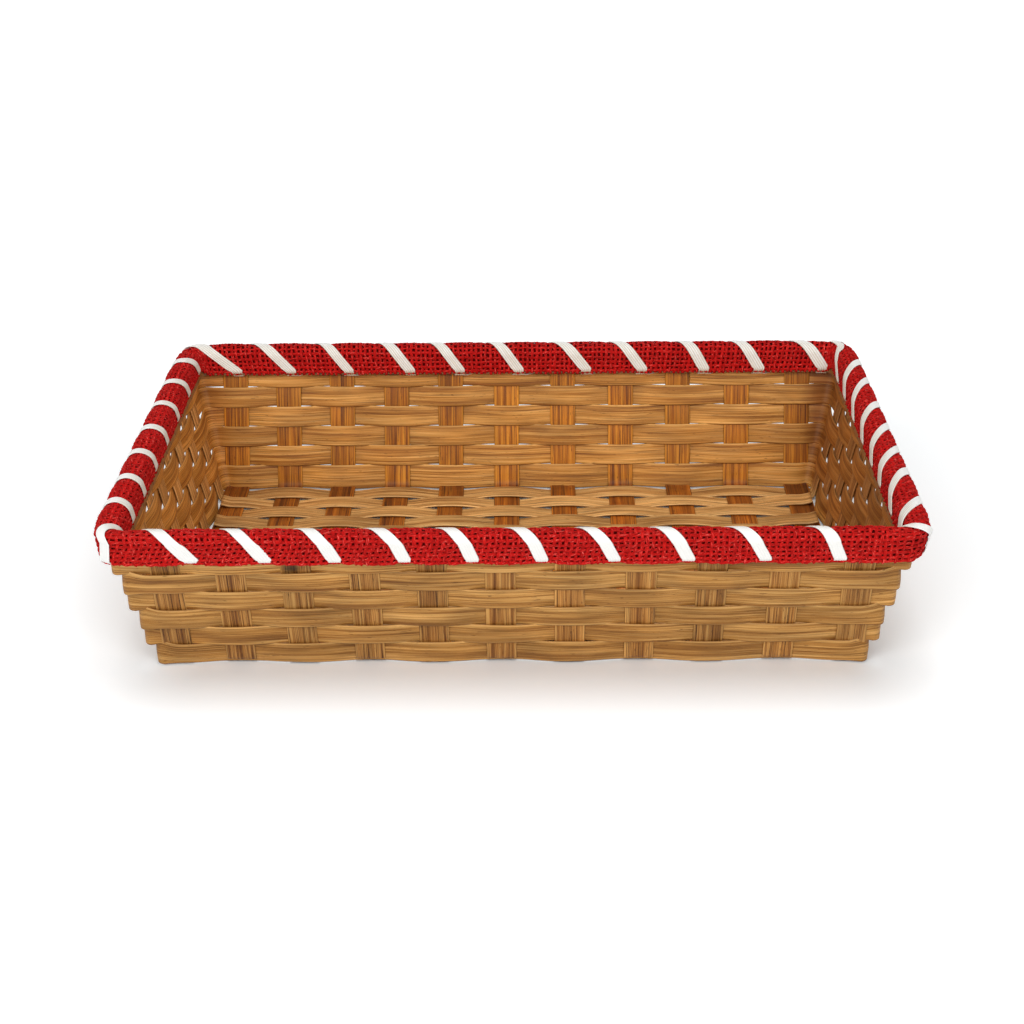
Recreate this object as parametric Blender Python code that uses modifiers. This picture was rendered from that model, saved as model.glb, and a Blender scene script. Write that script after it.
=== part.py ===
# Woven bamboo tray with a cloth-bound, laced rim. Metres, +Z up.
# The origin lies on the ground under the middle of the tray. The long side runs along X.
# A floor of long stakes, cross stakes and short fillers is woven flat. The stakes turn up
# into leaning walls, weavers run round them, two hoops clamp the top edge, a folded strip
# of coarse cloth covers the hoops, and one flat lace is wound right round the rim.
import math

import bpy
from mathutils import Vector

# Splints
splint_thickness = 0.0008
clearance = 0.0003

# Long stakes run from the front wall, across the floor, to the back wall
long_stake_count = 11
stake_width = 0.0126
stake_space = 0.01735
stake_drift = 0.005

# Cross stakes run from the left wall to the right wall, with a filler between each two
cross_stake_count = 8
strip_width = 0.012
strip_gap = 0.0005
filler_setback = 0.0006

# Floor edge and lean of the walls
end_space = 0.0005
side_space = 0.0039
bend_radius = 0.0015
end_lean = math.radians(13.0)
side_lean = math.radians(16.6)

# Weavers
row_count = 6
weaver_width = 0.0097
top_weaver_width = 0.0057
weaver_gap = 0.0004
floor_to_weaver = 0.0026
weaver_corner_radius = 0.0022
weaver_hold = 0.0006
weaver_end_gap = 0.0004

# Rim: hoops, cloth and lace
lace_slot = 0.0016
hoop_height = 0.0098
hoop_thickness = 0.0024
stake_standout = 0.002
rim_corner_radius = 0.009
least_corner_radius = 0.0006
cloth_thickness = 0.0008
cloth_crown = 0.0045
lace_width = 0.005
lace_thickness = 0.0006
lace_lead = 0.5
lace_gap = 0.0003

# Steps of the round stretches
bend_steps = 3
weaver_corner_steps = 3
rim_corner_steps = 8
crown_steps = 6
lace_corner_steps = 10

smooth_angle = math.radians(35)

# Colours, as linear values, and how rough each finish is
weaver_colour = (0.47, 0.24, 0.080)
stake_colour = (0.36, 0.17, 0.055)
filler_colour = (0.42, 0.20, 0.065)
hoop_colour = (0.50, 0.28, 0.11)
cloth_colour = (0.53, 0.010, 0.015)
lace_colour = (0.88, 0.87, 0.82)
splint_roughness = 0.5
cloth_roughness = 0.9
lace_roughness = 0.45

# Splints cut from different canes are a little lighter or darker: the spread of the tone,
# how far it turns from one splint to the next, and the first cane of each kind of splint
tone_spread = 0.08
tone_turn = 2.4
long_stake_cane = 0
cross_stake_cane = 20
filler_cane = 40
weaver_cane = 60

# Levels of the floor weave, at the middle of each splint's thickness
weave_step = splint_thickness + clearance
low_level = splint_thickness / 2
mid_level = low_level + weave_step
high_level = mid_level + weave_step

# The wall where it is woven is three splints thick
wall_half = splint_thickness / 2 + weave_step

strip_pitch = strip_width + strip_gap
strip_count = 2 * cross_stake_count - 1
stake_pitch = stake_width + stake_space
row_pitch = weaver_width + weaver_gap


def long_stake_x(number):
    # The hand-set spacing widens towards +X, so the middle stake lies left of the centre
    half = (long_stake_count - 1) / 2
    step = number - 1 - half
    return stake_pitch * step - stake_drift * (1 - (step / half) ** 2)


def strip_y(number):
    # Strip 1 lies beside the back wall
    return strip_pitch * ((strip_count + 1) / 2 - number)


def bend_tangent(lean):
    return bend_radius * math.tan((math.pi / 2 - lean) / 2)


stake_edge = long_stake_x(long_stake_count) + stake_width / 2
strip_edge = strip_y(1) + strip_width / 2
floor_half_length = stake_edge + end_space + bend_tangent(end_lean)
floor_half_width = strip_edge + side_space + bend_tangent(side_lean)

top_row_edge = floor_to_weaver + (row_count - 1) * row_pitch + top_weaver_width
rim_bottom = top_row_edge + lace_slot
hoop_top = rim_bottom + hoop_height
stake_top = hoop_top + stake_standout
slot_level = top_row_edge + lace_slot / 2

hoop_offset = wall_half + clearance + hoop_thickness / 2
cloth_offset = hoop_offset + hoop_thickness / 2 + clearance + cloth_thickness / 2
lace_offset = cloth_offset + cloth_thickness / 2 + lace_gap + lace_thickness / 2
lace_crown = cloth_crown + lace_offset - cloth_offset

# The winding of the lace starts in the left wall's first space past the back corner
first_slot = 2 * long_stake_count + cross_stake_count + 1


def wall_half_length(level):
    return floor_half_length + math.tan(end_lean) * (level - low_level)


def wall_half_width(level):
    return floor_half_width + math.tan(side_lean) * (level - mid_level)


def clear_scene():
    for thing in list(bpy.data.objects):
        bpy.data.objects.remove(thing, do_unlink=True)


def make_collection(name):
    collection = bpy.data.collections.new(name)
    bpy.context.scene.collection.children.link(collection)
    return collection


def make_material(name, colour, roughness, tone=1.0):
    material = bpy.data.materials.new(name)
    material.use_nodes = True
    shader = material.node_tree.nodes["Principled BSDF"]
    shader.inputs["Base Color"].default_value = (*(tone * part for part in colour), 1.0)
    shader.inputs["Roughness"].default_value = roughness
    shader.inputs["Metallic"].default_value = 0.0
    material.diffuse_color = (*(tone * part for part in colour), 1.0)
    return material


def natural_tone(cane):
    return 1.0 + tone_spread * math.sin(tone_turn * cane)


def make_sheet(collection, name, rows, thickness, material, closed=False, smooth=False):
    # An open surface through rows of points, thickened equally to both sides.
    # Each row crosses the sheet, and closed joins the last row to the first.
    width = len(rows[0])
    points = [point for row in rows for point in row]
    row_pairs = list(zip(range(len(rows) - 1), range(1, len(rows))))
    if closed:
        row_pairs.append((len(rows) - 1, 0))
    faces = []
    for here, there in row_pairs:
        for step in range(width - 1):
            start = here * width + step
            end = there * width + step
            faces.append((start, end, end + 1, start + 1))
    mesh = bpy.data.meshes.new(name)
    mesh.from_pydata(points, [], faces)
    mesh.update()
    sheet = bpy.data.objects.new(name, mesh)
    collection.objects.link(sheet)
    sheet.data.materials.append(material)
    solidify = sheet.modifiers.new("thickness", "SOLIDIFY")
    solidify.thickness = thickness
    solidify.offset = 0.0
    solidify.use_even_offset = True
    solidify.use_quality_normals = True
    if smooth:
        mesh.shade_smooth()
        mesh.set_sharp_from_angle(angle=smooth_angle)
    return sheet


def bend_points(corner, radius, turn):
    # Points of a crease in the floor plane's direction and height, from flat to rising.
    # The corner is where the floor line meets the wall line, and turn is the angle between.
    tangent = radius * math.tan(turn / 2)
    centre = (corner[0] - tangent, corner[1] + radius)
    points = []
    for step in range(bend_steps + 1):
        angle = turn * step / bend_steps
        points.append((centre[0] + radius * math.sin(angle), centre[1] - radius * math.cos(angle)))
    return points


def up_the_wall(reach, level, lean):
    # From the crease at the floor's edge up to the top end of the stake
    turn = math.pi / 2 - lean
    points = bend_points((reach, level), bend_radius, turn)
    rise = stake_top - level
    points.append((reach + rise * math.tan(lean), stake_top))
    return points


def make_long_stake(collection, number):
    # Flat across the floor between the strips, creased, and straight up both walls
    name = f"long_stake_{number:02d}"
    side = up_the_wall(floor_half_width, mid_level, side_lean)
    profile = [(-across, height) for across, height in reversed(side)] + side
    centre = long_stake_x(number)
    rows = []
    for across, height in profile:
        rows.append([(centre - stake_width / 2, across, height), (centre + stake_width / 2, across, height)])
    material = make_material(name, stake_colour, splint_roughness, natural_tone(number + long_stake_cane))
    return make_sheet(collection, name, rows, splint_thickness, material)


def strip_level(strip, stake):
    # Plain weave: the strip dips under one long stake and climbs over the next
    return low_level if (strip + stake) % 2 == 0 else high_level


def floor_weave(strip):
    # Level across each long stake with a straight slope between
    points = []
    reach = stake_width / 2 + weaver_hold
    for stake in range(1, long_stake_count + 1):
        centre = long_stake_x(stake)
        level = strip_level(strip, stake)
        points += [(centre - reach, level), (centre + reach, level)]
    return points


def make_strip_rows(profile, centre):
    half = strip_width / 2
    return [[(along, centre + half, height), (along, centre - half, height)] for along, height in profile]


def make_cross_stake(collection, number):
    # Woven across the floor, with both ends turned up the end walls
    name = f"cross_stake_{number}"
    strip = 2 * number - 1
    middle = floor_weave(strip)[1:-1]
    right = up_the_wall(floor_half_length, strip_level(strip, long_stake_count), end_lean)
    left = up_the_wall(floor_half_length, strip_level(strip, 1), end_lean)
    profile = [(-along, height) for along, height in reversed(left)] + middle + right
    rows = make_strip_rows(profile, strip_y(strip))
    material = make_material(name, stake_colour, splint_roughness, natural_tone(number + cross_stake_cane))
    return make_sheet(collection, name, rows, splint_thickness, material)


def make_filler(collection, number):
    # A short strip that lies only on the floor and is cut off short of the end walls
    name = f"floor_filler_{number}"
    strip = 2 * number
    middle = floor_weave(strip)[1:-1]
    reach = stake_edge - filler_setback
    profile = [(-reach, strip_level(strip, 1))] + middle + [(reach, strip_level(strip, long_stake_count))]
    rows = make_strip_rows(profile, strip_y(strip))
    material = make_material(name, filler_colour, splint_roughness, natural_tone(number + filler_cane))
    return make_sheet(collection, name, rows, splint_thickness, material)


# The four walls in turn: front, right, back and left, as a walk round the tray seen from
# above against the clock. Each has the direction of the walk and its outward direction.
wall_along = (Vector((1, 0, 0)), Vector((0, 1, 0)), Vector((-1, 0, 0)), Vector((0, -1, 0)))
wall_outward = (Vector((0, -1, 0)), Vector((1, 0, 0)), Vector((0, 1, 0)), Vector((-1, 0, 0)))
wall_lean = (side_lean, end_lean, side_lean, end_lean)


def wall_distance(wall, level):
    return wall_half_width(level) if wall % 2 == 0 else wall_half_length(level)


def stakes_on_wall(wall):
    # Centre along the walk and half the width of each stake that the walk passes
    if wall % 2 == 0:
        numbers = range(1, long_stake_count + 1)
        sign = 1 if wall == 0 else -1
        centres = [sign * long_stake_x(number) for number in numbers]
        half = stake_width / 2
    else:
        numbers = range(1, cross_stake_count + 1)
        sign = 1 if wall == 1 else -1
        centres = [sign * strip_y(2 * number - 1) for number in numbers]
        half = strip_width / 2
    return [(centre, half) for centre in sorted(centres)]


def weaver_along_wall(wall, level, passed, row):
    # The splint passes outside one stake and inside the next, flat across each of them.
    # A stop is a point of its middle line with the direction across the splint there.
    outward = wall_outward[wall]
    lean = wall_lean[wall]
    rise = Vector((0, 0, math.cos(lean))) + outward * math.sin(lean)
    stops = []
    for index, (centre, half) in enumerate(stakes_on_wall(wall)):
        side = 1 if (passed + index + row) % 2 == 0 else -1
        distance = wall_distance(wall, level) + side * weave_step / math.cos(lean)
        for end in (-1, 1):
            reach = centre + end * (half + weaver_hold)
            stops.append((wall_along[wall] * reach + outward * distance, rise))
    return stops


def upright_fold(wall, level):
    # The splint turns the corner upright, midway between outside and inside
    along = wall_along[wall]
    outward = wall_outward[wall]
    last_centre, half = stakes_on_wall(wall)[-1]
    next_distance = wall_distance((wall + 1) % 4, level)
    radius = min(weaver_corner_radius, next_distance - last_centre - half - weaver_hold - clearance)
    centre = along * (next_distance - radius) + outward * (wall_distance(wall, level) - radius)
    stops = []
    for step in range(weaver_corner_steps + 1):
        angle = math.pi / 2 * step / weaver_corner_steps
        direction = outward * math.cos(angle) + along * math.sin(angle)
        stops.append((centre + direction * radius, Vector((0, 0, 1))))
    return stops


def leaning_fold(wall):
    # Under the rim the splint leans round the corner as the hoops do
    stops = []
    for step in range(weaver_corner_steps + 1):
        share = 1 + step / weaver_corner_steps
        low, high = (rim_place(wall, share, 0.0, edge)[0] for edge in (rim_bottom, hoop_top))
        stops.append(((low + high) / 2, (high - low).normalized()))
    return stops


def make_weaver(collection, name, row, level, width=weaver_width, under_rim=False):
    # One flat splint woven right round the tray. Its two ends meet behind the middle of a
    # stake in the back wall.
    stops = []
    passed = 0
    for wall in range(4):
        if wall == 2:
            hiding = len(stops) + 2 * (long_stake_count // 2 + row % 2)
        stops += weaver_along_wall(wall, level, passed, row)
        stops += leaning_fold(wall) if under_rim else upright_fold(wall, level)
        passed += len(stakes_on_wall(wall))
    rise = stops[hiding][1]
    meeting = (stops[hiding][0] + stops[hiding + 1][0]) / 2
    half_gap = wall_along[2] * (weaver_end_gap / 2)
    ends = [(meeting + half_gap, rise), (meeting - half_gap, rise)]
    stops = ends[:1] + stops[hiding + 1:] + stops[:hiding + 1] + ends[1:]
    rows = []
    for point, rise in stops:
        middle = Vector((point.x, point.y, level))
        rows.append([tuple(middle - rise * (width / 2)), tuple(middle + rise * (width / 2))])
    material = make_material(name, weaver_colour, splint_roughness, natural_tone(row + weaver_cane))
    return make_sheet(collection, name, rows, splint_thickness, material)


def rim_place(wall, share, offset, level):
    # A point of the rim at a height and a distance outside the middle of the wall, with
    # its outward direction. Share runs from 0 to 1 along the straight stretch of the wall,
    # and from 1 to 2 round the corner that follows it.
    along = wall_along[wall]
    outward = wall_outward[wall]
    radius = max(rim_corner_radius + offset, least_corner_radius)
    distance = wall_distance(wall, level) + offset / math.cos(wall_lean[wall])
    next_wall = (wall + 1) % 4
    reach = wall_distance(next_wall, level) + offset / math.cos(wall_lean[next_wall]) - radius
    if share <= 1:
        point = along * (reach * (2 * share - 1)) + outward * distance
        direction = outward
    else:
        angle = math.pi / 2 * (share - 1)
        direction = outward * math.cos(angle) + along * math.sin(angle)
        point = along * reach + outward * (distance - radius) + direction * radius
    return Vector((point.x, point.y, level)), direction


def rim_ring(offset, level):
    # One closed line round the rim at an offset and a height
    points = []
    for wall in range(4):
        points.append(rim_place(wall, 0.0, offset, level)[0])
        for step in range(rim_corner_steps):
            points.append(rim_place(wall, 1 + step / rim_corner_steps, offset, level)[0])
    return points


def make_hoop(collection, name, offset):
    # A flat band of bamboo that clamps the woven wall, its edges level
    low = rim_ring(offset, rim_bottom)
    high = rim_ring(offset, hoop_top)
    rows = [[tuple(below), tuple(above)] for below, above in zip(low, high)]
    material = make_material(name, hoop_colour, splint_roughness)
    return make_sheet(collection, name, rows, hoop_thickness, material, closed=True)


def rim_section(offset, crown, bottom):
    # Offsets and heights over the rim, from the outer lower edge over the top to the inner
    section = [(offset, bottom)]
    for step in range(crown_steps + 1):
        angle = math.pi * step / crown_steps
        section.append((offset * math.cos(angle), hoop_top + crown * math.sin(angle)))
    section.append((-offset, bottom))
    return section


def make_binding(collection):
    # The cloth strip folded over the hoops, with both raw edges hanging down
    rings = [rim_ring(offset, level) for offset, level in rim_section(cloth_offset, cloth_crown, rim_bottom)]
    rows = [[tuple(ring[station]) for ring in rings] for station in range(len(rings[0]))]
    material = make_material("burlap_binding", cloth_colour, cloth_roughness)
    return make_sheet(collection, "burlap_binding", rows, cloth_thickness, material, closed=True, smooth=True)


def wall_run(wall):
    # Half of the straight stretch of a wall at the level where the lace goes through
    radius = rim_corner_radius
    return wall_distance((wall + 1) % 4, slot_level) - radius


def lace_slots():
    # Where the lace goes through the wall: near each corner, then in each space between two
    # stakes, as a wall and a share of its straight stretch
    slots = []
    for wall in range(4):
        run = wall_run(wall)
        inner_corner = run + rim_corner_radius - lace_offset / math.cos(wall_lean[(wall + 1) % 4])
        stakes = stakes_on_wall(wall)
        first_edge = stakes[0][0] - stakes[0][1]
        places = [min(-inner_corner + lace_width, (first_edge - inner_corner) / 2)]
        for (before, half), (after, _) in zip(stakes, stakes[1:]):
            free = after - before - 2 * half
            places.append((before + after) / 2 + lace_lead * (free - lace_width) / 2)
        slots += [(wall, (place / run + 1) / 2) for place in places]
    return slots


def walk_length(wall, share):
    # Distance walked from the start of the front wall, at the level of the lace's slots
    corner = math.pi / 2 * rim_corner_radius
    done = sum(2 * wall_run(before) + corner for before in range(wall))
    if share <= 1:
        return done + 2 * wall_run(wall) * share
    return done + 2 * wall_run(wall) + corner * (share - 1)


def walk_place(length):
    # The wall and share that lie at a distance along the walk
    corner = math.pi / 2 * rim_corner_radius
    round_trip = sum(2 * wall_run(wall) + corner for wall in range(4))
    rest = length % round_trip
    for wall in range(4):
        straight = 2 * wall_run(wall)
        if rest <= straight:
            return wall, rest / straight
        if rest <= straight + corner:
            return wall, 1 + (rest - straight) / corner
        rest -= straight + corner
    return 0, 0.0


def lace_turn():
    # One turn of the lace over the rim, from the slot up the inside, over the top and down
    # the outside, as offset, height and share of the way to the next slot
    under = cloth_offset
    foot = slot_level + lace_thickness / 2
    section = [(under, slot_level)] + rim_section(lace_offset, lace_crown, foot) + [(-under, slot_level)]
    section = section[::-1]
    lengths = [0.0]
    for before, after in zip(section, section[1:]):
        lengths.append(lengths[-1] + math.dist(before, after))
    return [(offset, level, length / lengths[-1]) for (offset, level), length in zip(section, lengths)]


def fine_turn(start, advance):
    # The turn that leaves a slot, as walk, offset and height, with short steps round a corner
    turn = lace_turn()
    places = []
    for before, after in zip(turn, turn[1:]):
        ends = [walk_place(start + advance * part) for part in (before[2], after[2])]
        turns_corner = ends[0][0] != ends[1][0] or max(ends[0][1], ends[1][1]) > 1
        steps = lace_corner_steps if turns_corner else 1
        for step in range(steps):
            blend = step / steps
            offset, level, part = (one + (other - one) * blend for one, other in zip(before, after))
            places.append((start + advance * part, offset, level))
    places.append((start + advance, turn[-1][0], turn[-1][1]))
    return places


def lace_rows():
    # Both edges of the lace at every fold, from the first slot's inner mouth to the same
    # slot's outer mouth. A flat strip folds along the rim, so each fold lies along the walk
    # and is as long as the strip's slant makes it.
    slots = lace_slots()
    slots = slots[first_slot:] + slots[:first_slot + 1]
    starts = [walk_length(*slot) for slot in slots]
    round_trip = walk_length(3, 2.0)
    turn_length = sum(math.dist(before[:2], after[:2]) for before, after in zip(lace_turn(), lace_turn()[1:]))
    rows = []
    for start, end in zip(starts, starts[1:]):
        advance = (end - start) % round_trip
        slanted = lace_width * math.hypot(turn_length, advance) / turn_length
        folds = [(*place, slanted) for place in fine_turn(start, advance)]
        if rows:
            folds.insert(0, (start, 0.0, slot_level, lace_width))
        for walk, offset, level, fold in folds:
            point, direction = rim_place(*walk_place(walk), offset, level)
            half_fold = Vector((-direction.y, direction.x, 0)) * (fold / 2)
            rows.append([tuple(point - half_fold), tuple(point + half_fold)])
    return rows


def least_gap(rows, skip):
    # Smallest distance between the lace and another turn of it, less its thickness
    points = [[Vector(row[0]), (Vector(row[0]) + Vector(row[1])) / 2, Vector(row[1])] for row in rows]
    least = math.inf
    for index, here in enumerate(points):
        for there in points[index + skip:]:
            for one in here:
                for other in there:
                    least = min(least, (one - other).length)
    return least - lace_thickness


def make_lace(collection):
    # One flat strip wound right round the rim, a turn in every space between the stakes
    rows = lace_rows()
    print("least gap of the lace to itself, mm:", round(1000 * least_gap(rows, len(lace_turn())), 2))
    material = make_material("rim_lacing", lace_colour, lace_roughness)
    return make_sheet(collection, "rim_lacing", rows, lace_thickness, material)


def make_tray():
    clear_scene()
    tray = make_collection("bamboo_tray")
    for number in range(1, long_stake_count + 1):
        make_long_stake(tray, number)
    for number in range(1, cross_stake_count + 1):
        make_cross_stake(tray, number)
    for number in range(1, cross_stake_count):
        make_filler(tray, number)
    for row in range(1, row_count + 1):
        # The top row is a narrower splint, so that the rim lies right over the weave
        width = top_weaver_width if row == 1 else weaver_width
        level = floor_to_weaver + (row_count - row) * row_pitch + width / 2
        make_weaver(tray, f"weaver_row_{row}", row, level, width)
    make_weaver(tray, "weaver_under_rim", 0, rim_bottom + weaver_width / 2, under_rim=True)
    make_hoop(tray, "outer_rim_hoop", hoop_offset)
    make_hoop(tray, "inner_rim_hoop", -hoop_offset)
    make_binding(tray)
    make_lace(tray)


make_tray()
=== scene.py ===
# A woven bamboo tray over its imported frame: splints with grain, a rim bound in coarse red
# cloth and wound with a white lace. Places are in millimetres until a mesh is made.
import math

import bpy
import numpy as np
from mathutils import Matrix


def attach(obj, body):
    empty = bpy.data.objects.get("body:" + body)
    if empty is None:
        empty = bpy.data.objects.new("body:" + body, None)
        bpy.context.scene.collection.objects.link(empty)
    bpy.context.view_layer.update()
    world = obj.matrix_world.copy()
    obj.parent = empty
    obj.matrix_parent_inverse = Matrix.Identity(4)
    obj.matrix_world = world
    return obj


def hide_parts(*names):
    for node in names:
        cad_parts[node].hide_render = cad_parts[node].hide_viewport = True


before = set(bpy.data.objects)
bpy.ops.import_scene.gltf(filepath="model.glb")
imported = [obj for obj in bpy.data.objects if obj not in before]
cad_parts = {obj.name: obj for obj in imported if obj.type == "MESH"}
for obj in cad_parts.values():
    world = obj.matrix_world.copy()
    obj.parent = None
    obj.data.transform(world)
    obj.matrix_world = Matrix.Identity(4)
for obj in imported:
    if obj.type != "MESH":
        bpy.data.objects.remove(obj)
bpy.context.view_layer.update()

# The tray's own sizes, the same that its solids were made from
tray = {
    "splintThickness": 0.8,
    "weaveStep": 1.1,
    "longStakes": 11,
    "stakeWidth": 12.6,
    "stakePitch": 29.95,
    "stakeDrift": 5.0,
    "crossStakes": 8,
    "stripWidth": 12.0,
    "stripPitch": 12.5,
    "endSpace": 0.5,
    "sideSpace": 3.9,
    "bendRadius": 1.5,
    "endLean": math.radians(13.0),
    "sideLean": math.radians(16.6),
    "rows": 6,
    "rowPitch": 10.1,
    "weaverWidth": 9.7,
    "topWeaverWidth": 5.7,
    "floorToWeaver": 2.6,
    "laceSlot": 1.6,
    "hoopHeight": 9.8,
    "stakeStandout": 2.0,
    "rimCorner": 9.0,
    "leastCorner": 0.6,
}

lowLevel = tray["splintThickness"] / 2
midLevel = lowLevel + tray["weaveStep"]
stripCount = 2 * tray["crossStakes"] - 1


def longStakeX(number):
    half = (tray["longStakes"] - 1) / 2
    step = number - 1 - half
    return tray["stakePitch"] * step - tray["stakeDrift"] * (1 - (step / half) ** 2)


def stripY(number):
    return tray["stripPitch"] * ((stripCount + 1) / 2 - number)


def bendTangent(lean):
    return tray["bendRadius"] * math.tan((math.pi / 2 - lean) / 2)


stakeEdge = longStakeX(tray["longStakes"]) + tray["stakeWidth"] / 2
stripEdge = stripY(1) + tray["stripWidth"] / 2
floorHalfLength = stakeEdge + tray["endSpace"] + bendTangent(tray["endLean"])
floorHalfWidth = stripEdge + tray["sideSpace"] + bendTangent(tray["sideLean"])
topRowEdge = tray["floorToWeaver"] + (tray["rows"] - 1) * tray["rowPitch"] + tray["topWeaverWidth"]
rimBottom = topRowEdge + tray["laceSlot"]
hoopTop = rimBottom + tray["hoopHeight"]
stakeTop = hoopTop + tray["stakeStandout"]
slotLevel = topRowEdge + tray["laceSlot"] / 2

# Front, right, back and left wall, walked against the clock as seen from above
wallAlong = np.array([(1, 0), (0, 1), (-1, 0), (0, -1)], float)
wallOutward = np.array([(0, -1), (1, 0), (0, 1), (-1, 0)], float)
wallLean = np.array([tray["sideLean"], tray["endLean"]] * 2)


def wallDistance(wall, level):
    # From the middle of the tray to the middle of a wall's thickness, at a level
    sideways = np.asarray(wall) % 2 == 1
    ends = floorHalfLength + math.tan(tray["endLean"]) * (level - lowLevel)
    sides = floorHalfWidth + math.tan(tray["sideLean"]) * (level - midLevel)
    return np.where(sideways, ends, sides)


def stakesOnWall(wall):
    # Centres of a wall's stakes along its walk
    if wall % 2 == 0:
        centres = [longStakeX(stake) for stake in range(1, tray["longStakes"] + 1)]
    else:
        centres = [stripY(2 * stake - 1) for stake in range(1, tray["crossStakes"] + 1)]
    return sorted(centre if wall < 2 else -centre for centre in centres)


# How far the shown rows reach past their solids: towards each other, up behind the edge of
# the cloth and down to the floor
rowReach = {
    "between": 0.7,
    "top": 2.2,
    "floor": 2.0,
}


def rowBand(row):
    # Middle level and height of a row of weaving, counted down from the rim
    if row == 0:
        return rimBottom + tray["weaverWidth"] / 2, tray["weaverWidth"]
    low = tray["floorToWeaver"] + (tray["rows"] - row) * tray["rowPitch"]
    high = low + tray["weaverWidth"] + rowReach["between"]
    if row == 1:
        high = rimBottom + rowReach["top"]
    if row == tray["rows"]:
        low -= rowReach["floor"]
    return (low + high) / 2, high - low


def wander(seed, place, longest, waves=5):
    # A smooth wander between about -1 and 1, the same on each run
    rng = np.random.default_rng(seed)
    total = np.zeros(np.shape(place))
    for wave in range(waves):
        length = longest * rng.uniform(0.3, 1.0)
        total = total + np.sin(2 * math.pi * np.asarray(place) / length + rng.uniform(0, 2 * math.pi))
    return total / math.sqrt(waves * 2)


def weaveWave(place, centres, values, flatness=0.8):
    # From value to value like a bent splint: broad over each crossing, quickest between
    place = np.asarray(place, float)
    step = np.clip(np.searchsorted(centres, place) - 1, 0, len(centres) - 2)
    centres, values = np.asarray(centres, float), np.asarray(values, float)
    share = np.clip((place - centres[step]) / (centres[step + 1] - centres[step]), 0, 1)
    ease = 0.5 - 0.5 * np.tanh(flatness * np.cos(math.pi * share)) / math.tanh(flatness)
    return values[step] + (values[step + 1] - values[step]) * ease


def runAlong(points):
    # Length walked along a line, at each of its points
    return np.concatenate([[0], np.cumsum(np.linalg.norm(np.diff(points, axis=0), axis=1))])


def unit(vectors):
    return vectors / np.linalg.norm(vectors, axis=-1, keepdims=True)


def eachAxis(points, work):
    return np.stack([work(points[:, axis]) for axis in range(points.shape[1])], axis=1)


def evenSteps(points, step):
    points = np.asarray(points, float)
    run = runAlong(points)
    places = np.linspace(0, run[-1], max(2, int(round(run[-1] / step)) + 1))
    return eachAxis(points, lambda part: np.interp(places, run, part))


def softenLine(points, spread, step=0.4):
    # Rounds the creases of a line, its two ends held
    points = evenSteps(points, step)
    reach = int(3 * spread / step)
    weights = np.exp(-0.5 * (np.arange(-reach, reach + 1) * step / spread) ** 2)
    weights /= weights.sum()
    ends = np.linspace(1, 0, reach, endpoint=False)[:, None]
    before = points[0] - (points[1] - points[0]) * ends * reach
    after = points[-1] + (points[-1] - points[-2]) * ends[::-1] * reach
    padded = np.concatenate([before, points, after])
    return eachAxis(padded, lambda part: np.convolve(part, weights, "valid"))


# Materials

def setInput(tree, socket, value):
    if isinstance(value, bpy.types.NodeSocket):
        tree.links.new(value, socket)
    else:
        socket.default_value = value


def makeNode(tree, kind, inputs=None, **settings):
    node = tree.nodes.new(kind)
    for name, value in settings.items():
        setattr(node, name, value)
    for name, value in (inputs or {}).items():
        setInput(tree, node.inputs[name], value)
    return node


def startMaterial(name):
    material = bpy.data.materials.new(name)
    material.use_nodes = True
    tree = material.node_tree
    return material, tree, tree.nodes["Principled BSDF"]


def finishMaterial(tree, shader, colour, bump, roughness, specular):
    # The bump is given as its height, strength and depth in metres
    height, strength, depth = bump
    raised = makeNode(tree, "ShaderNodeBump", {"Height": height, "Strength": strength, "Distance": depth})
    setInput(tree, shader.inputs["Base Color"], colour)
    setInput(tree, shader.inputs["Normal"], raised.outputs[0])
    setInput(tree, shader.inputs["Roughness"], roughness)
    shader.inputs["Specular IOR Level"].default_value = specular


def mathsNode(tree, operation, first, second=0.0, third=0.0, clamp=False):
    return makeNode(tree, "ShaderNodeMath", {0: first, 1: second, 2: third}, operation=operation,
                    use_clamp=clamp).outputs[0]


def plus(tree, first, second):
    return mathsNode(tree, "ADD", first, second)


def times(tree, first, second, extra=0.0):
    return mathsNode(tree, "MULTIPLY_ADD", first, second, extra)


def splitAttribute(tree, name):
    attribute = makeNode(tree, "ShaderNodeAttribute", attribute_name=name)
    return makeNode(tree, "ShaderNodeSeparateXYZ", {"Vector": attribute.outputs["Vector"]}).outputs


def splitPlace(tree):
    place = makeNode(tree, "ShaderNodeTexCoord").outputs["Object"]
    return makeNode(tree, "ShaderNodeSeparateXYZ", {"Vector": place}).outputs


def mixColour(tree, share, first, second, blend="MIX"):
    node = makeNode(tree, "ShaderNodeMix", {0: share}, data_type="RGBA", blend_type=blend)
    for socket, value in ((6, first), (7, second)):
        isColour = isinstance(value, tuple)
        setInput(tree, node.inputs[socket], (*value, 1.0) if isColour else value)
    return node.outputs[2]


def toned(tree, colour, grey):
    grey = makeNode(tree, "ShaderNodeCombineColor", {"Red": grey, "Green": grey, "Blue": grey}).outputs[0]
    return mixColour(tree, 1.0, colour, grey, "MULTIPLY")


def rampNode(tree, value, places, greys=(0.0, 1.0)):
    # Grey that changes from the first to the second between two places of the value
    node = makeNode(tree, "ShaderNodeValToRGB", {"Fac": value})
    for element, place, grey in zip(node.color_ramp.elements, places, greys):
        element.position = place
        element.color = (grey, grey, grey, 1.0)
    return node.outputs["Color"]


falling = (1.0, 0.0)


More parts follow.
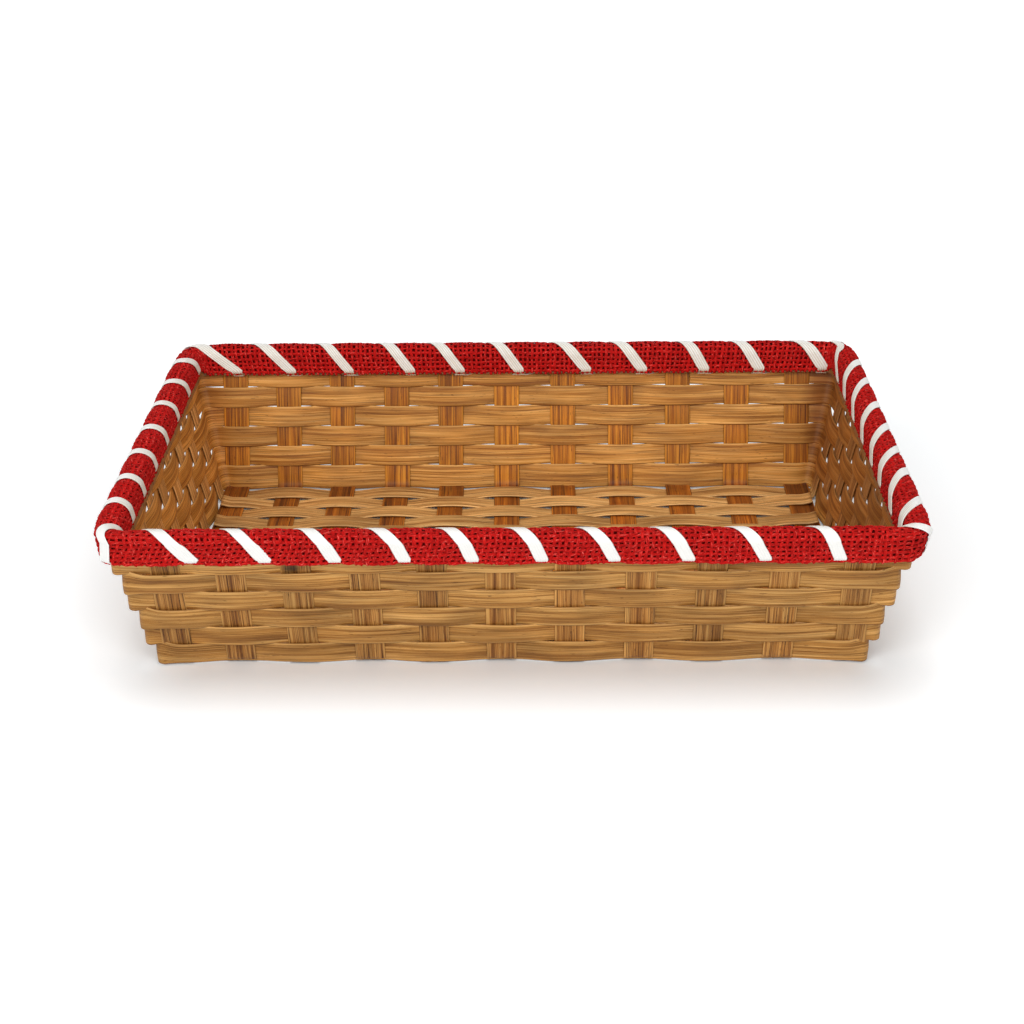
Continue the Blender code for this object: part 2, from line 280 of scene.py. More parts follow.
def streakNoise(tree, along, across, scales, shift, detail=2.0, roughness=0.55):
    # Noise drawn out along a splint, with its scales along and across in millimetres
    place = makeNode(tree, "ShaderNodeCombineXYZ", {
        "X": times(tree, along, scales[0]), "Y": times(tree, across, scales[1]), "Z": shift}).outputs[0]
    return makeNode(tree, "ShaderNodeTexNoise", {
        "Vector": place, "Scale": 1.0, "Detail": detail, "Roughness": roughness}).outputs["Fac"]


bambooLooks = {
    "weaver": {
        "outside": ((0.74, 0.415, 0.135), (0.445, 0.202, 0.041), (0.175, 0.060, 0.010)),
        "inside": ((0.88, 0.475, 0.140), (0.56, 0.237, 0.038), (0.23, 0.072, 0.009)),
        "lineColour": (0.070, 0.021, 0.004),
        "lineDepth": 0.55,
        "lineScale": 2.4,
        "fineScale": 5.0,
        "lowerEdgeShadow": 0.75,
        "roughness": 0.5,
    },
    "stake": {
        "outside": ((0.64, 0.345, 0.100), (0.37, 0.152, 0.030), (0.12, 0.037, 0.006)),
        "inside": ((0.74, 0.300, 0.030), (0.46, 0.142, 0.008), (0.13, 0.032, 0.003)),
        "lineColour": (0.035, 0.009, 0.002),
        "lineDepth": 0.95,
        "lineScale": 2.7,
        "fineScale": 5.2,
        "lowerEdgeShadow": 0.0,
        "roughness": 0.48,
    },
    "strip": {
        "outside": ((0.60, 0.33, 0.115), (0.42, 0.19, 0.050), (0.19, 0.068, 0.014)),
        "inside": ((0.95, 0.58, 0.225), (0.60, 0.29, 0.080), (0.24, 0.084, 0.016)),
        "lineColour": (0.080, 0.025, 0.005),
        "lineDepth": 0.75,
        "lineScale": 1.8,
        "fineScale": 4.0,
        "lowerEdgeShadow": 0.0,
        "roughness": 0.5,
    },
}


# What all splints share
bambooGrain = {
    # Layers of grain: scales along and across, shift, detail and roughness. The looks scale
    # the fine layer and the lines across the splint.
    "layers": {
        "fine": (0.02, 1.0, 0.0, 3.0, 0.68),
        "broad": (0.014, 0.50, 11.0, 2.0, 0.55),
        "cloud": (0.035, 0.10, 23.0, 2.0, 0.55),
        "lines": (0.02, 1.0, 31.0, 2.0, 0.7),
        "specks": (0.25, 1.8, 43.0, 1.0, 0.55),
    },
    # Where each tone and each mark fades in or out
    "ramps": {
        "dark": (0.37, 0.51),
        "light": (0.49, 0.64),
        "paleEdgeHighlight": (0.82, 0.93),
        "lowerShadowRamp": (0.90, 1.0),
        "cut": (0.965, 1.0),
        "lines": (0.36, 0.44),
        "specks": (0.24, 0.32),
    },
    "sway": 0.7,
    "swayScales": (0.03, 0.12),
    "toneShift": 37.0,
    "faceShift": 5.0,
    "broadShare": 0.42,
    "edgeShare": 0.6,
    "speckShare": 0.6,
    "leastTone": 0.85,
    "toneSpread": 0.30,
    "drift": 0.95,
    "roughSpread": 0.22,
    "bump": (0.4, 0.00022),
}


def bambooMaterial(name, look):
    # Splint attributes: grain is along, across and which face; mark is tone, edge, inside
    material, tree, shader = startMaterial(name)
    along, across, face = splitAttribute(tree, "grain")
    tone, side, inside = splitAttribute(tree, "mark")
    edge = mathsNode(tree, "ABSOLUTE", side)
    # The grain wavers a little along the splint
    sway = streakNoise(tree, along, across, bambooGrain["swayScales"], tone, 1.0)
    across = times(tree, sway, bambooGrain["sway"], across)
    shift = times(tree, tone, bambooGrain["toneShift"], times(tree, face, bambooGrain["faceShift"]))
    ramps = bambooGrain["ramps"]

    def layer(label, share=1.0):
        alongScale, acrossScale, apart, detail, roughness = bambooGrain["layers"][label]
        scales = (alongScale, acrossScale * share)
        return streakNoise(tree, along, across, scales, plus(tree, shift, apart), detail, roughness)

    fine, lines = layer("fine", look["fineScale"]), layer("lines", look["lineScale"])
    light, middle, dark = (mixColour(tree, inside, outer, inner)
                           for outer, inner in zip(look["outside"], look["inside"]))
    broadShare = bambooGrain["broadShare"]
    body = times(tree, layer("broad"), broadShare, times(tree, fine, 1 - broadShare))
    colour = mixColour(tree, rampNode(tree, body, ramps["dark"], falling), middle, dark)
    colour = mixColour(tree, rampNode(tree, body, ramps["light"]), colour, light)
    # The edges are paler, a painted highlight: on weavers the upper edge only, on stakes and strips both
    # edges
    pale = rampNode(tree, side if look["lowerEdgeShadow"] else edge, ramps["paleEdgeHighlight"])
    colour = mixColour(tree, times(tree, pale, bambooGrain["edgeShare"]), colour, light)
    # Painted shadow along a weaver's lower edge, then the dark grain lines and specks
    for share, strength in (
        (rampNode(tree, times(tree, side, -1.0), ramps["lowerShadowRamp"]), look["lowerEdgeShadow"]),
        (rampNode(tree, lines, ramps["lines"], falling), look["lineDepth"]),
        (rampNode(tree, layer("specks"), ramps["specks"], falling), bambooGrain["speckShare"]),
    ):
        colour = mixColour(tree, times(tree, share, strength), colour, look["lineColour"])
    # Each cane has its own tone, and each splint drifts in tone along its length
    drift = times(tree, plus(tree, layer("cloud"), -0.5), bambooGrain["drift"], bambooGrain["leastTone"])
    colour = toned(tree, colour, times(tree, tone, bambooGrain["toneSpread"], drift))
    # Painted shade from each point's shade attribute: inside the end walls and on the floor stakes towards
    # the back, with the floor stakes' tone and lines and a knot
    shade = makeNode(tree, "ShaderNodeAttribute", attribute_name="shade").outputs["Color"]
    colour = mixColour(tree, 1.0, colour, shade, "MULTIPLY")
    # The cut itself is dark, partly its own colour and partly painted shadow where splints meet
    darkCutAndShadow = times(tree, rampNode(tree, edge, ramps["cut"]), bambooGrain["edgeShare"])
    colour = mixColour(tree, darkCutAndShadow, colour, look["outside"][2])
    spread = bambooGrain["roughSpread"]
    rough = times(tree, fine, spread, look["roughness"] - spread / 2)
    height = times(tree, fine, 0.6, times(tree, lines, 0.7))
    finishMaterial(tree, shader, colour, (height, *bambooGrain["bump"]), rough, 0.25)
    return material


bambooMaterials = {kind: bambooMaterial(f"{kind}Bamboo", look) for kind, look in bambooLooks.items()}


# Meshes

def addMesh(name, points, faces, material, **attributes):
    # The places are in millimetres
    mesh = bpy.data.meshes.new(name)
    mesh.from_pydata((np.asarray(points).reshape(-1, 3) / 1000.0).tolist(), [], faces)
    for label, values in attributes.items():
        layer = mesh.attributes.new(label, "FLOAT_VECTOR", "POINT")
        layer.data.foreach_set("vector", np.asarray(values, np.float32).ravel())
    mesh.update()
    mesh.shade_smooth()
    mesh.materials.append(material)
    piece = bpy.data.objects.new(name, mesh)
    bpy.context.scene.collection.objects.link(piece)
    return piece


def together(*parts):
    # Values stretched to one shape and put side by side
    return np.stack(np.broadcast_arrays(*parts), axis=-1)


def ringFaces(rings, ringSize, closed, flip=False):
    # Quads between rings of points, with a row of quads over each open end
    index = np.arange(rings * ringSize).reshape(rings, ringSize)
    following = np.roll(index, -1, axis=1)
    last = rings if closed else rings - 1
    upper, upperNext = (np.roll(part, -1, axis=0)[:last] for part in (index, following))
    faces = np.stack([index[:last], following[:last], upperNext, upper], axis=-1).reshape(-1, 4).tolist()
    for ring, turned in () if closed else ((0, True), (rings - 1, False)):
        base = ring * ringSize
        for step in range(ringSize // 2):
            corners = [base + step, base + step + 1, base + (ringSize - step - 1) % ringSize,
                       base + (ringSize - step) % ringSize]
            corners = list(dict.fromkeys(corners))
            if len(corners) > 2:
                faces.append(corners[::-1] if turned else corners)
    return [face[::-1] for face in faces] if flip else faces


splintRing = {
    "across": (-0.988, -0.955, -0.88, -0.62, -0.31, 0.0, 0.31, 0.62, 0.88, 0.955, 0.988),
    "height": (0.55, 0.9, 1.0, 1.0, 1.0, 1.0, 1.0, 1.0, 1.0, 0.9, 0.55),
    "crown": 0.22,
    "innerCrown": 0.06,
    # Size and length of what wanders along a splint, and how close its ribs lie across it
    "edgeWander": (0.13, 130.0),
    "rib": (0.05, 300.0),
    "ribAcross": 4.3,
    "twist": (0.16, 90.0),
    # Painted shade on the inside of the end walls: where that begins and over what reach, outwards
    # and upwards, and how much on the right and on the left, for red, green and blue
    "endWall": (152.0, 8.0),
    "endFoot": (2.0, 4.0),
    "endWallPaintedShade": ((0.62, 1.03), (0.49, 0.92), (0.42, 0.82)),
    # The stakes on the floor: their redder tone with painted shade, at its middle and at its back, and the
    # spread of their lines
    "floorToneAndPaintedShade": ((1.0, 0.80, 0.76), (0.50, 0.38, 0.34)),
    "floorBack": 95.0,
    "floorTop": (4.5, 2.5),
    "floorLines": (0.66, 1.34),
    # A knot in the front end of the third long stake: its middle, reach and shade
    "knot": (-95.3, -114.7, 54.4),
    "knotReach": (3.2, 6.0, 2.4),
    "knotShade": 0.12,
}
ringAcross = np.array([-1.0, *splintRing["across"], 1.0, *splintRing["across"][::-1]])
ringHeight = np.array([0.0, *splintRing["height"], 0.0, *(-height for height in splintRing["height"])])


def splintShade(points, inside, isStake, hasKnot, seed):
    # Painted shade on the inside of the end walls, above the floor
    start, fade = splintRing["endWall"]
    atEnd = np.clip((np.abs(points[..., 0]) - start) / fade, 0, 1) * inside
    start, fade = splintRing["endFoot"]
    atEnd = atEnd * np.clip((points[..., 2] - start) / fade, 0, 1)
    shades = [np.where(points[..., 0] > 0, right, left) for right, left in splintRing["endWallPaintedShade"]]
    shade = np.stack([1 + (part - 1) * atEnd for part in shades], axis=-1)
    if hasKnot:
        away = (points - splintRing["knot"]) / splintRing["knotReach"]
        away = np.linalg.norm(away, axis=-1, keepdims=True)
        least = splintRing["knotShade"]
        shade = shade * (least + (1 - least) * np.clip(away - 0.5, 0, 1))
    # Stakes on the floor are redder, with painted shade that darkens them towards the back wall, and dark
    # lines along them
    if isStake:
        top, fade = splintRing["floorTop"]
        onFloor = np.clip((top - points[..., 2:]) / fade, 0, 1) * inside[..., None]
        near, far = (np.array(part) for part in splintRing["floorToneAndPaintedShade"])
        lines = np.random.default_rng(seed + 9).uniform(*splintRing["floorLines"], len(ringAcross))
        darker = near + (far - near) * np.clip(points[..., 1:2] / splintRing["floorBack"], 0, 1)
        shade = shade * (1 + (darker * lines[None, :, None] - 1) * onFloor)
    return shade


def makeSplint(name, node, kind, line, width, seed, crown=splintRing["crown"]):
    # A bamboo splint with rounded edges, a slight crown and wavering edges. Its line is the
    # spine and the directions across and outward.
    rng = np.random.default_rng(seed)
    spine, across, outward = line
    run = runAlong(spine)[:, None]
    width = np.broadcast_to(width, len(spine))[:, None]
    size, length = splintRing["edgeWander"]
    edges = [width / 2 + size * wander(seed + step, run, length) for step in (1, 2)]
    place = np.where(ringAcross < 0, ringAcross * edges[0], ringAcross * edges[1])
    share = ringAcross[None, :]
    rise = np.where(ringHeight > 0, crown, -splintRing["innerCrown"])
    size, length = splintRing["rib"]
    wave = share * splintRing["ribAcross"] + rng.uniform(0, 6) + wander(seed + 3, run, length)
    rib = size * np.sin(wave)
    height = ringHeight * tray["splintThickness"] / 2 + (rise * (1 - share ** 2) + rib) * np.abs(ringHeight)
    size, length = splintRing["twist"]
    height = height + size * share * wander(seed + 4, run, length)
    points = (spine[:, None, :] + across[:, None, :] * place[..., None]
              + outward[:, None, :] * height[..., None])
    turned = np.einsum("ij,ij->i", np.cross(across, outward), np.gradient(spine, axis=0)).sum() > 0
    face = np.sign(ringHeight)[None, :]
    inside = 0.5 - 0.5 * face
    faces = ringFaces(len(spine), len(ringAcross), False, turned)
    piece = addMesh(name, points, faces, bambooMaterials[kind],
                    grain=together(run + 777.0 * (seed % 13), place, face),
                    mark=together(rng.uniform(0, 1) + 0 * place, share, inside),
                    shade=splintShade(points, inside, kind == "stake", name == "longStake03", seed))
    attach(piece, "root")
    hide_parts(node)


# Stakes and floor strips

floorWeave = {
    "rise": 1.2,
    "dip": 0.9,
    "stakeWave": 0.16,
    "stakeSway": 0.35,
    "stripSway": 0.12,
    "swayLength": 260.0,
    "fillerLift": 1.3,
    "liftPower": 1.5,
    "fillerInset": 0.6,
    "floorInset": 2.0,
    "floorSamples": 400,
    "flatness": 0.9,
    "bendSteps": 6,
    "crease": 0.7,
    "step": 1.7,
    "shownWidth": 12.7,
    "shownStake": 13.3,
    "stakeCrown": 0.1,
    # A weaver presses on a stake above this level, and how far the press fades out below
    # the floor and above the stake's top
    "pressFrom": 6.0,
    "pressEnds": (-2.0, 5.0),
}


def stripIsLow(strip, stake):
    return (strip + stake) % 2 == 0


def upTheWall(reach, level, lean):
    # From the crease to the top end of a stake, as distance and level
    radius, steps = tray["bendRadius"], floorWeave["bendSteps"]
    points = []
    for step in range(steps + 1):
        angle = (math.pi / 2 - lean) * step / steps
        points.append((reach - bendTangent(lean) + radius * math.sin(angle),
                       level + radius * (1 - math.cos(angle))))
    points.append((reach + (stakeTop - level) * math.tan(lean), stakeTop))
    return points


def weaverSide(index, row):
    # 1 where a row's weaver passes outside a stake, -1 where it passes inside
    return 1 if (index + row) % 2 == 0 else -1


def wallIndex(wall, order):
    # Number of a stake in the walk round the tray, from the front wall's first
    before = (0, tray["longStakes"], tray["longStakes"] + tray["crossStakes"],
              2 * tray["longStakes"] + tray["crossStakes"])
    return before[wall] + order


def stakeLine(middle, reach, level, lean, rightSign, leftSign):
    # The whole line of a stake. It gives way a little where a weaver presses on it, on both
    # of its walls.
    side = upTheWall(reach, level, lean)
    line = [(-distance, height) for distance, height in reversed(side)] + middle + side
    line = evenSteps(softenLine(line, floorWeave["crease"]), floorWeave["step"])
    rows = range(tray["rows"], 0, -1)
    below, above = floorWeave["pressEnds"]
    levels = [below, *(rowBand(row)[0] for row in rows), stakeTop + above]
    for wall, sign in ((1, rightSign), (-1, leftSign)):
        presses = [sign * (-1) ** row * floorWeave["stakeWave"] for row in rows]
        push = weaveWave(line[:, 1], levels, [0.0, *presses, 0.0])
        onWall = (np.sign(line[:, 0]) == wall) & (line[:, 1] > floorWeave["pressFrom"])
        line[:, 0] += np.where(onWall, -wall * push, 0)
    return line


def splintLine(line, alongX, middle, sway, seed):
    # Spine and directions across and outward of a line of distance and level
    slope = unit(np.gradient(line, axis=0))
    aside = middle + sway * wander(seed, line[:, 0], floorWeave["swayLength"])
    zero = np.zeros(len(line))
    spine, across, outward = (together(line[:, 0], aside, line[:, 1]), together(zero, 1.0, 0.0),
                              together(slope[:, 1], zero, -slope[:, 0]))
    # A line along Y is the same with its first two directions changed over
    order = [0, 1, 2] if alongX else [1, 0, 2]
    return spine[:, order], across[:, order], outward[:, order]


def makeLongStakes():
    for number in range(1, tray["longStakes"] + 1):
        line = stakeLine([], floorHalfWidth, midLevel, tray["sideLean"],
                         weaverSide(wallIndex(2, tray["longStakes"] - number), 0),
                         weaverSide(wallIndex(0, number - 1), 0))
        # Pushed down under the strips that lie over it, and up by those that lie under
        strips = range(stripCount, 0, -1)
        centres = [stripY(strip) for strip in strips]
        values = [floorWeave["stakeWave"] * (1 if stripIsLow(strip, number) else -1) for strip in strips]
        onFloor = np.abs(line[:, 0]) < stripEdge - floorWeave["floorInset"]
        line[:, 1] += np.where(onFloor, weaveWave(line[:, 0], centres, values), 0)
        line = splintLine(line, False, longStakeX(number), floorWeave["stakeSway"], 100 + number)
        makeSplint(f"longStake{number:02d}", f"long_stake_{number:02d}", "stake", line,
                   floorWeave["shownStake"], 200 + 7 * number, floorWeave["stakeCrown"])


def floorLine(strip, reach, endLift=0.0):
    # The strip's way over and under the long stakes, as distance and level
    places = np.linspace(-reach, reach, floorWeave["floorSamples"])
    stakes = range(1, tray["longStakes"] + 1)
    centres = [longStakeX(stake) for stake in stakes]
    values = [-floorWeave["dip"] if stripIsLow(strip, stake) else floorWeave["rise"] for stake in stakes]
    levels = midLevel + weaveWave(places, centres, values, floorWeave["flatness"])
    beyond = np.clip(np.abs(places) - centres[-1], 0, None) / max(reach - centres[-1], 1e-6)
    return np.stack([places, levels + endLift * beyond ** floorWeave["liftPower"]], axis=1)


def makeCrossStakes():
    for number in range(1, tray["crossStakes"] + 1):
        strip = 2 * number - 1
        # Each end goes on from the level at which the strip leaves the last stake
        middle = floorLine(strip, longStakeX(tray["longStakes"])).tolist()
        line = stakeLine(middle, floorHalfLength, middle[-1][1], tray["endLean"],
                         weaverSide(wallIndex(1, tray["crossStakes"] - number), 0),
                         weaverSide(wallIndex(3, number - 1), 0))
        line = splintLine(line, True, stripY(strip), floorWeave["stripSway"], 300 + number)
        makeSplint(f"crossStake{number}", f"cross_stake_{number}", "strip", line,
                   floorWeave["shownWidth"], 400 + 7 * number)


def makeFillers():
    for number in range(1, tray["crossStakes"]):
        strip = 2 * number
        line = floorLine(strip, stakeEdge - floorWeave["fillerInset"], floorWeave["fillerLift"])
        line = evenSteps(line, floorWeave["step"])
        line = splintLine(line, True, stripY(strip), floorWeave["stripSway"], 500 + number)
        makeSplint(f"floorFiller{number}", f"floor_filler_{number}", "strip", line,
                   floorWeave["shownWidth"], 600 + 7 * number)


# Weavers

weaving = {
    "amplitude": 1.12,
    "turn": 0.8,
    # At the front corners the weavers are held out, stand upright and are a little wider
    "cornerHold": (0.8, 0.12, 0.12, 0.8),
    "cornerRadius": (3.0, 4.5, 4.5, 3.0),
    "cornerUpright": (1.0, 0.0, 0.0, 1.0),
    "cornerRise": 1.5,
    "uprightReach": 9.0,
    # How far the rows hang down at the front, and how much more at its left end, with where
    # each of the two begins and over what reach it grows
    "frontDrop": 0.9,
    "frontFade": (0.5, 230.0),
    "leftDrop": 0.9,
    "leftFade": (40.0, 110.0),
    # How far the front-left corner stands out to the left, and over what reach
    "leftPush": (1.1, 12.0),
    "straightStep": 1.7,
    "cornerSteps": 9,
    "levelWander": (0.12, 240.0),
}


def weaverPlan(level, row):
    # A rounded rectangle as places, outward directions, leans, how upright and run, and each
    # stake as its run, wall and the run at both ends of its wall. At a corner the weaver lies
    # outside or inside each wall as at its stake.
    radii = [tray["rimCorner"]] * 4 if row == 0 else weaving["cornerRadius"]
    halves = [float(wallDistance(wall, level)) for wall in range(4)]
    ends = []
    for wall in range(4):
        first, last = wallIndex(wall, 0), wallIndex(wall, len(stakesOnWall(wall)) - 1)
        ends.append([weaving["amplitude"] / math.cos(wallLean[wall]) * weaving["cornerHold"][corner]
                     * weaverSide(index, row) for index, corner in ((first, (wall - 1) % 4), (last, wall))])
    plan, stakes = [], []
    start = 0.0
    for wall in range(4):
        after, before, radius = (wall + 1) % 4, (wall - 1) % 4, radii[wall]
        low = -(halves[before] + ends[before][1] - radii[before])
        high = halves[after] + ends[after][0] - radius
        length, arc = high - low, math.pi / 2 * radius
        steps = int(length / weaving["straightStep"])
        for along, here in zip(np.linspace(low, high, steps, endpoint=False),
                               np.linspace(start, start + length, steps, endpoint=False)):
            nearEnds = ((before, along - low), (wall, high - along))
            upright = [(1 - away / weaving["uprightReach"]) * weaving["cornerUpright"][corner]
                       for corner, away in nearEnds]
            plan.append((*(wallAlong[wall] * along + wallOutward[wall] * halves[wall]), *wallOutward[wall],
                         wallLean[wall], max(0.0, *upright), here))
        stakes += [(start + centre - low, wall, start, start + high - low) for centre in stakesOnWall(wall)]
        centre = wallAlong[wall] * high + wallOutward[wall] * (halves[wall] + ends[wall][1] - radius)
        steps = weaving["cornerSteps"]
        runs = np.linspace(start + length, start + length + arc, steps, endpoint=False)
        for step, here in enumerate(runs):
            angle = math.pi / 2 * step / steps
            direction = wallOutward[wall] * math.cos(angle) + wallAlong[wall] * math.sin(angle)
            lean = math.tan(wallLean[wall]) * math.cos(angle) + math.tan(wallLean[after]) * math.sin(angle)
            plan.append((*(centre + direction * radius), *direction, math.atan(lean),
                         weaving["cornerUpright"][wall], here))
        start += length + arc
    plan = np.array(plan)
    return plan[:, 0:2], plan[:, 2:4], plan[:, 4], plan[:, 5], plan[:, 6], stakes


def weaverOffset(run, stakes, row):
    # Outside one stake and inside the next, and held at that side up to each corner
    offset = np.zeros(len(run))
    for index, (here, wall, first, last) in enumerate(stakes):
        side = weaverSide(index, row)
        there, nextWall = stakes[(index + 1) % len(stakes)][:2]
        if wall == nextWall:
            share = (run - here) / (there - here)
            turn = side * np.tanh(weaving["turn"] * np.cos(math.pi * share)) / math.tanh(weaving["turn"])
            offset = np.where((run >= here) & (run <= there), turn, offset)
        else:
            share = np.clip((run - here) / (last - here), 0, 1)
            held = side * (1 - (1 - weaving["cornerHold"][wall]) * share ** 2)
            offset = np.where((run >= here) & (run < last), held, offset)
        if stakes[index - 1][1] != wall:
            share = np.clip((here - run) / (here - first), 0, 1)
            held = side * (1 - (1 - weaving["cornerHold"][wall - 1]) * share ** 2)
            offset = np.where((run >= first) & (run < here), held, offset)
    return offset * weaving["amplitude"]


def makeWeavers():
    for row in range(tray["rows"] + 1):
        level, width = rowBand(row)
        places, outs, leans, upright, run, stakes = weaverPlan(level, row)
        offset = weaverOffset(run, stakes, row)
        places = places + outs * (offset / np.cos(leans))[:, None]
        upright = np.clip(upright, 0, 1) ** 2 if row else upright * 0
        tilt = leans * (1 - upright)
        rise = np.concatenate([outs * np.sin(tilt)[:, None], np.cos(tilt)[:, None]], axis=1)
        face = np.concatenate([outs * np.cos(tilt)[:, None], -np.sin(tilt)[:, None]], axis=1)
        raised = weaving["cornerRise"] * upright
        begin, reach = weaving["leftFade"]
        drop = weaving["frontDrop"] + weaving["leftDrop"] * np.clip((-places[:, 0] - begin) / reach, 0, 1)
        begin, reach = weaving["frontFade"]
        drop = drop * np.clip(begin - places[:, 1] / reach, 0, 1)
        size, length = weaving["levelWander"]
        heights = level + size * wander(700 + row, run, length) + raised / 2
        if row == tray["rows"]:
            # The lowest row keeps its lower edge where it is
            heights, raised = heights - drop / 2, raised - drop
        else:
            heights = heights - drop
        push, reach = weaving["leftPush"]
        away = np.hypot(places[:, 0] + wallDistance(3, level), places[:, 1] + wallDistance(0, level))
        places[:, 0] -= push * np.exp(-(away / reach) ** 2)
        # The two ends meet behind a stake of the back wall
        hiding = wallIndex(2, tray["longStakes"] // 2 + row % 2)
        first = int(np.argmin(np.abs(run - stakes[hiding][0])))
        spine, rise, face, slanted = (np.roll(part, -first, axis=0) for part in (
            np.column_stack([places, heights]), rise, face, (width + raised) / np.cos(tilt)))
        name, node = f"weaverRow{row}", f"weaver_row_{row}"
        if row == 0:
            name, node = "weaverUnderRim", "weaver_under_rim"
        makeSplint(name, node, "weaver", (spine, rise, face), slanted, 800 + 11 * row)


makeLongStakes()
makeCrossStakes()
makeFillers()
print("stakes and floor are woven")
makeWeavers()
print("weavers are round the walls")


# Rim: places by walk, offset and level

# The cloth hangs squarer below the top of the hoops at the front corners: how much at each
# corner, growing over what height and over what thickness of the rim
rimSquare = {
    "corners": np.array([3.0, 0.0, 0.0, 7.0]),
    "height": 9.4,
    "thickness": 9.8,
}
cornerWalk = math.pi / 2 * tray["rimCorner"]
slotDistances = np.array([float(wallDistance(wall, slotLevel)) for wall in range(4)])
rimRuns = np.roll(slotDistances, -1) + np.roll(slotDistances, 1) - 2 * tray["rimCorner"]
wallStarts = np.concatenate([[0], np.cumsum(rimRuns + cornerWalk)])
cornerMiddles = wallStarts[1:] - cornerWalk / 2
roundTrip = wallStarts[4]


def nearestWay(difference):
    # A difference of walks the short way round the rim
    return (difference + roundTrip / 2) % roundTrip - roundTrip / 2


def cornerRadius(corner, offset, level):
    square = rimSquare["corners"][corner] * np.clip((hoopTop - level) / rimSquare["height"], 0, 1)
    square = square * np.clip(0.5 + offset / rimSquare["thickness"], 0, 1)
    return np.maximum(tray["rimCorner"] - square + offset, tray["leastCorner"])


def rimReach(wall, offset, level):
    # Ends of a wall's straight part at an offset and level, along its walk
    after, before = (wall + 1) % 4, (wall - 1) % 4
    low, high = (wallDistance(side, level) + offset / np.cos(wallLean[side]) for side in (before, after))
    return cornerRadius(before, offset, level) - low, high - cornerRadius(wall, offset, level)


def rimPoint(walk, offset, level):
    # Points of the rim, with their outward and walking directions
    walk, offset, level = np.broadcast_arrays(np.asarray(walk, float) % roundTrip, offset, level)
    wall = np.clip(np.searchsorted(wallStarts, walk, side="right") - 1, 0, 3)
    rest = walk - wallStarts[wall]
    share = np.minimum(rest / rimRuns[wall], 1.0)[..., None]
    angle = math.pi / 2 * np.clip((rest - rimRuns[wall]) / cornerWalk, 0, 1)[..., None]
    radius = cornerRadius(wall, offset, level)[..., None]
    distance = (wallDistance(wall, level) + offset / np.cos(wallLean[wall]))[..., None]
    low, high = (part[..., None] for part in rimReach(wall, offset, level))
    outward = wallOutward[wall] * np.cos(angle) + wallAlong[wall] * np.sin(angle)
    straight = wallAlong[wall] * (low + (high - low) * share) + wallOutward[wall] * distance
    corner = wallAlong[wall] * high + wallOutward[wall] * (distance - radius) + outward * radius
    plan = np.where((rest <= rimRuns[wall])[..., None], straight, corner)
    flat = np.zeros(level.shape + (1,))
    walking = np.concatenate([-outward[..., 1:2], outward[..., :1], flat], axis=-1)
    points = np.concatenate([plan, level[..., None]], axis=-1)
    return points, np.concatenate([outward, flat], axis=-1), walking


def walkAt(wall, along, offset, level):
    # The walk of a place on a wall's straight part, or beyond its end into the corner
    low, high = (float(part) for part in rimReach(wall, offset, level))
    straight = rimRuns[wall] * (min(along, high) - low) / (high - low)
    return wallStarts[wall] + straight + max(0.0, along - high)


lace = {
    "width": 5.4,
    "thickness": 0.62,
    "offset": 5.9,
    "crown": 4.7,
    "hidden": 3.4,
    "strands": 5,
    "grooveDepth": 0.13,
    "crownDepth": 0.10,
    "step": 0.7,
    "crease": (0.45, 0.25),  # how far its creases are rounded, and in what steps
    "mostSlant": 1.2,
    "widthWander": (0.04, 140.0),
    # Each turn's middle line goes on past its feet by this share, and is smoothed
    "past": 0.1,
    "samples": 97,
    "smoothing": 17,
    # Each wall's stations on the lace's way over the rim: share of the way from the inner
    # foot to the outer foot, offset and level
    "stations": (
        ((0.0, -5.9, 63.5), (0.40, -2.5, 74.4), (0.75, 5.9, 66.0), (1.0, 5.9, 61.5)),
        ((0.0, -5.9, 67.0), (0.40, 0.0, 74.9), (0.67, 5.9, 71.5), (1.0, 5.9, 61.5)),
        ((0.0, -5.9, 62.5), (0.55, 2.1, 74.5), (0.80, 5.9, 68.0), (1.0, 5.9, 61.5)),
        ((0.0, -5.9, 67.0), (0.40, 0.0, 74.9), (0.67, 5.9, 71.5), (1.0, 5.9, 61.5)),
    ),
    # Each turn's places along the walk of its wall at those stations. A place past the end
    # of the wall lies in the corner. The last turn of each wall goes round the corner.
    "turns": (
        ((-163.0, -152.3, -144.7, -136.8), (-131.0, -119.2, -111.9, -105.2), (-99.0, -87.3, -80.3, -75.3),
         (-69.0, -57.4, -49.6, -45.5), (-39.0, -27.0, -20.2, -16.5), (-9.0, 2.5, 9.5, 13.1),
         (20.5, 32.1, 39.9, 44.0), (52.5, 64.1, 71.6, 75.6), (84.5, 96.3, 104.2, 108.3),
         (119.0, 130.9, 137.0, 140.0), (165.7, 171.5, 176.3, 177.6)),
        ((-108.0, -95.1, -83.3, -78.0), (-84.1, -61.3, -51.5, -46.5), (-53.1, -36.3, -24.4, -19.5),
         (-29.0, -8.1, 5.0, 10.0), (-0.3, 22.5, 33.3, 38.0), (28.7, 55.1, 68.3, 73.0),
         (59.4, 83.3, 94.7, 99.5), (84.5, 121.5, 119.0, 117.0)),
        ((-163.1, -149.6, -143.0, -139.0), (-129.2, -117.1, -111.0, -107.0), (-100.0, -88.8, -83.0, -79.0),
         (-67.1, -53.1, -47.0, -43.0), (-37.4, -22.1, -16.0, -12.0), (-1.5, 12.1, 18.0, 22.0),
         (29.7, 43.7, 50.0, 54.0), (56.3, 70.5, 77.0, 81.0), (88.8, 103.7, 110.0, 114.0),
         (119.7, 138.0, 144.0, 148.0), (148.5, 172.5, 174.0, 175.5)),
        ((-102.7, -96.0, -95.5, -93.0), (-69.3, -65.0, -64.5, -62.0), (-35.1, -34.0, -33.5, -31.0),
         (-2.7, -2.0, -1.0, 2.0), (28.7, 29.0, 29.5, 32.0), (59.9, 59.0, 60.0, 63.0),
         (87.9, 86.0, 87.5, 91.0), (109.0, 115.8, 119.8, 123.3)),
    ),
}


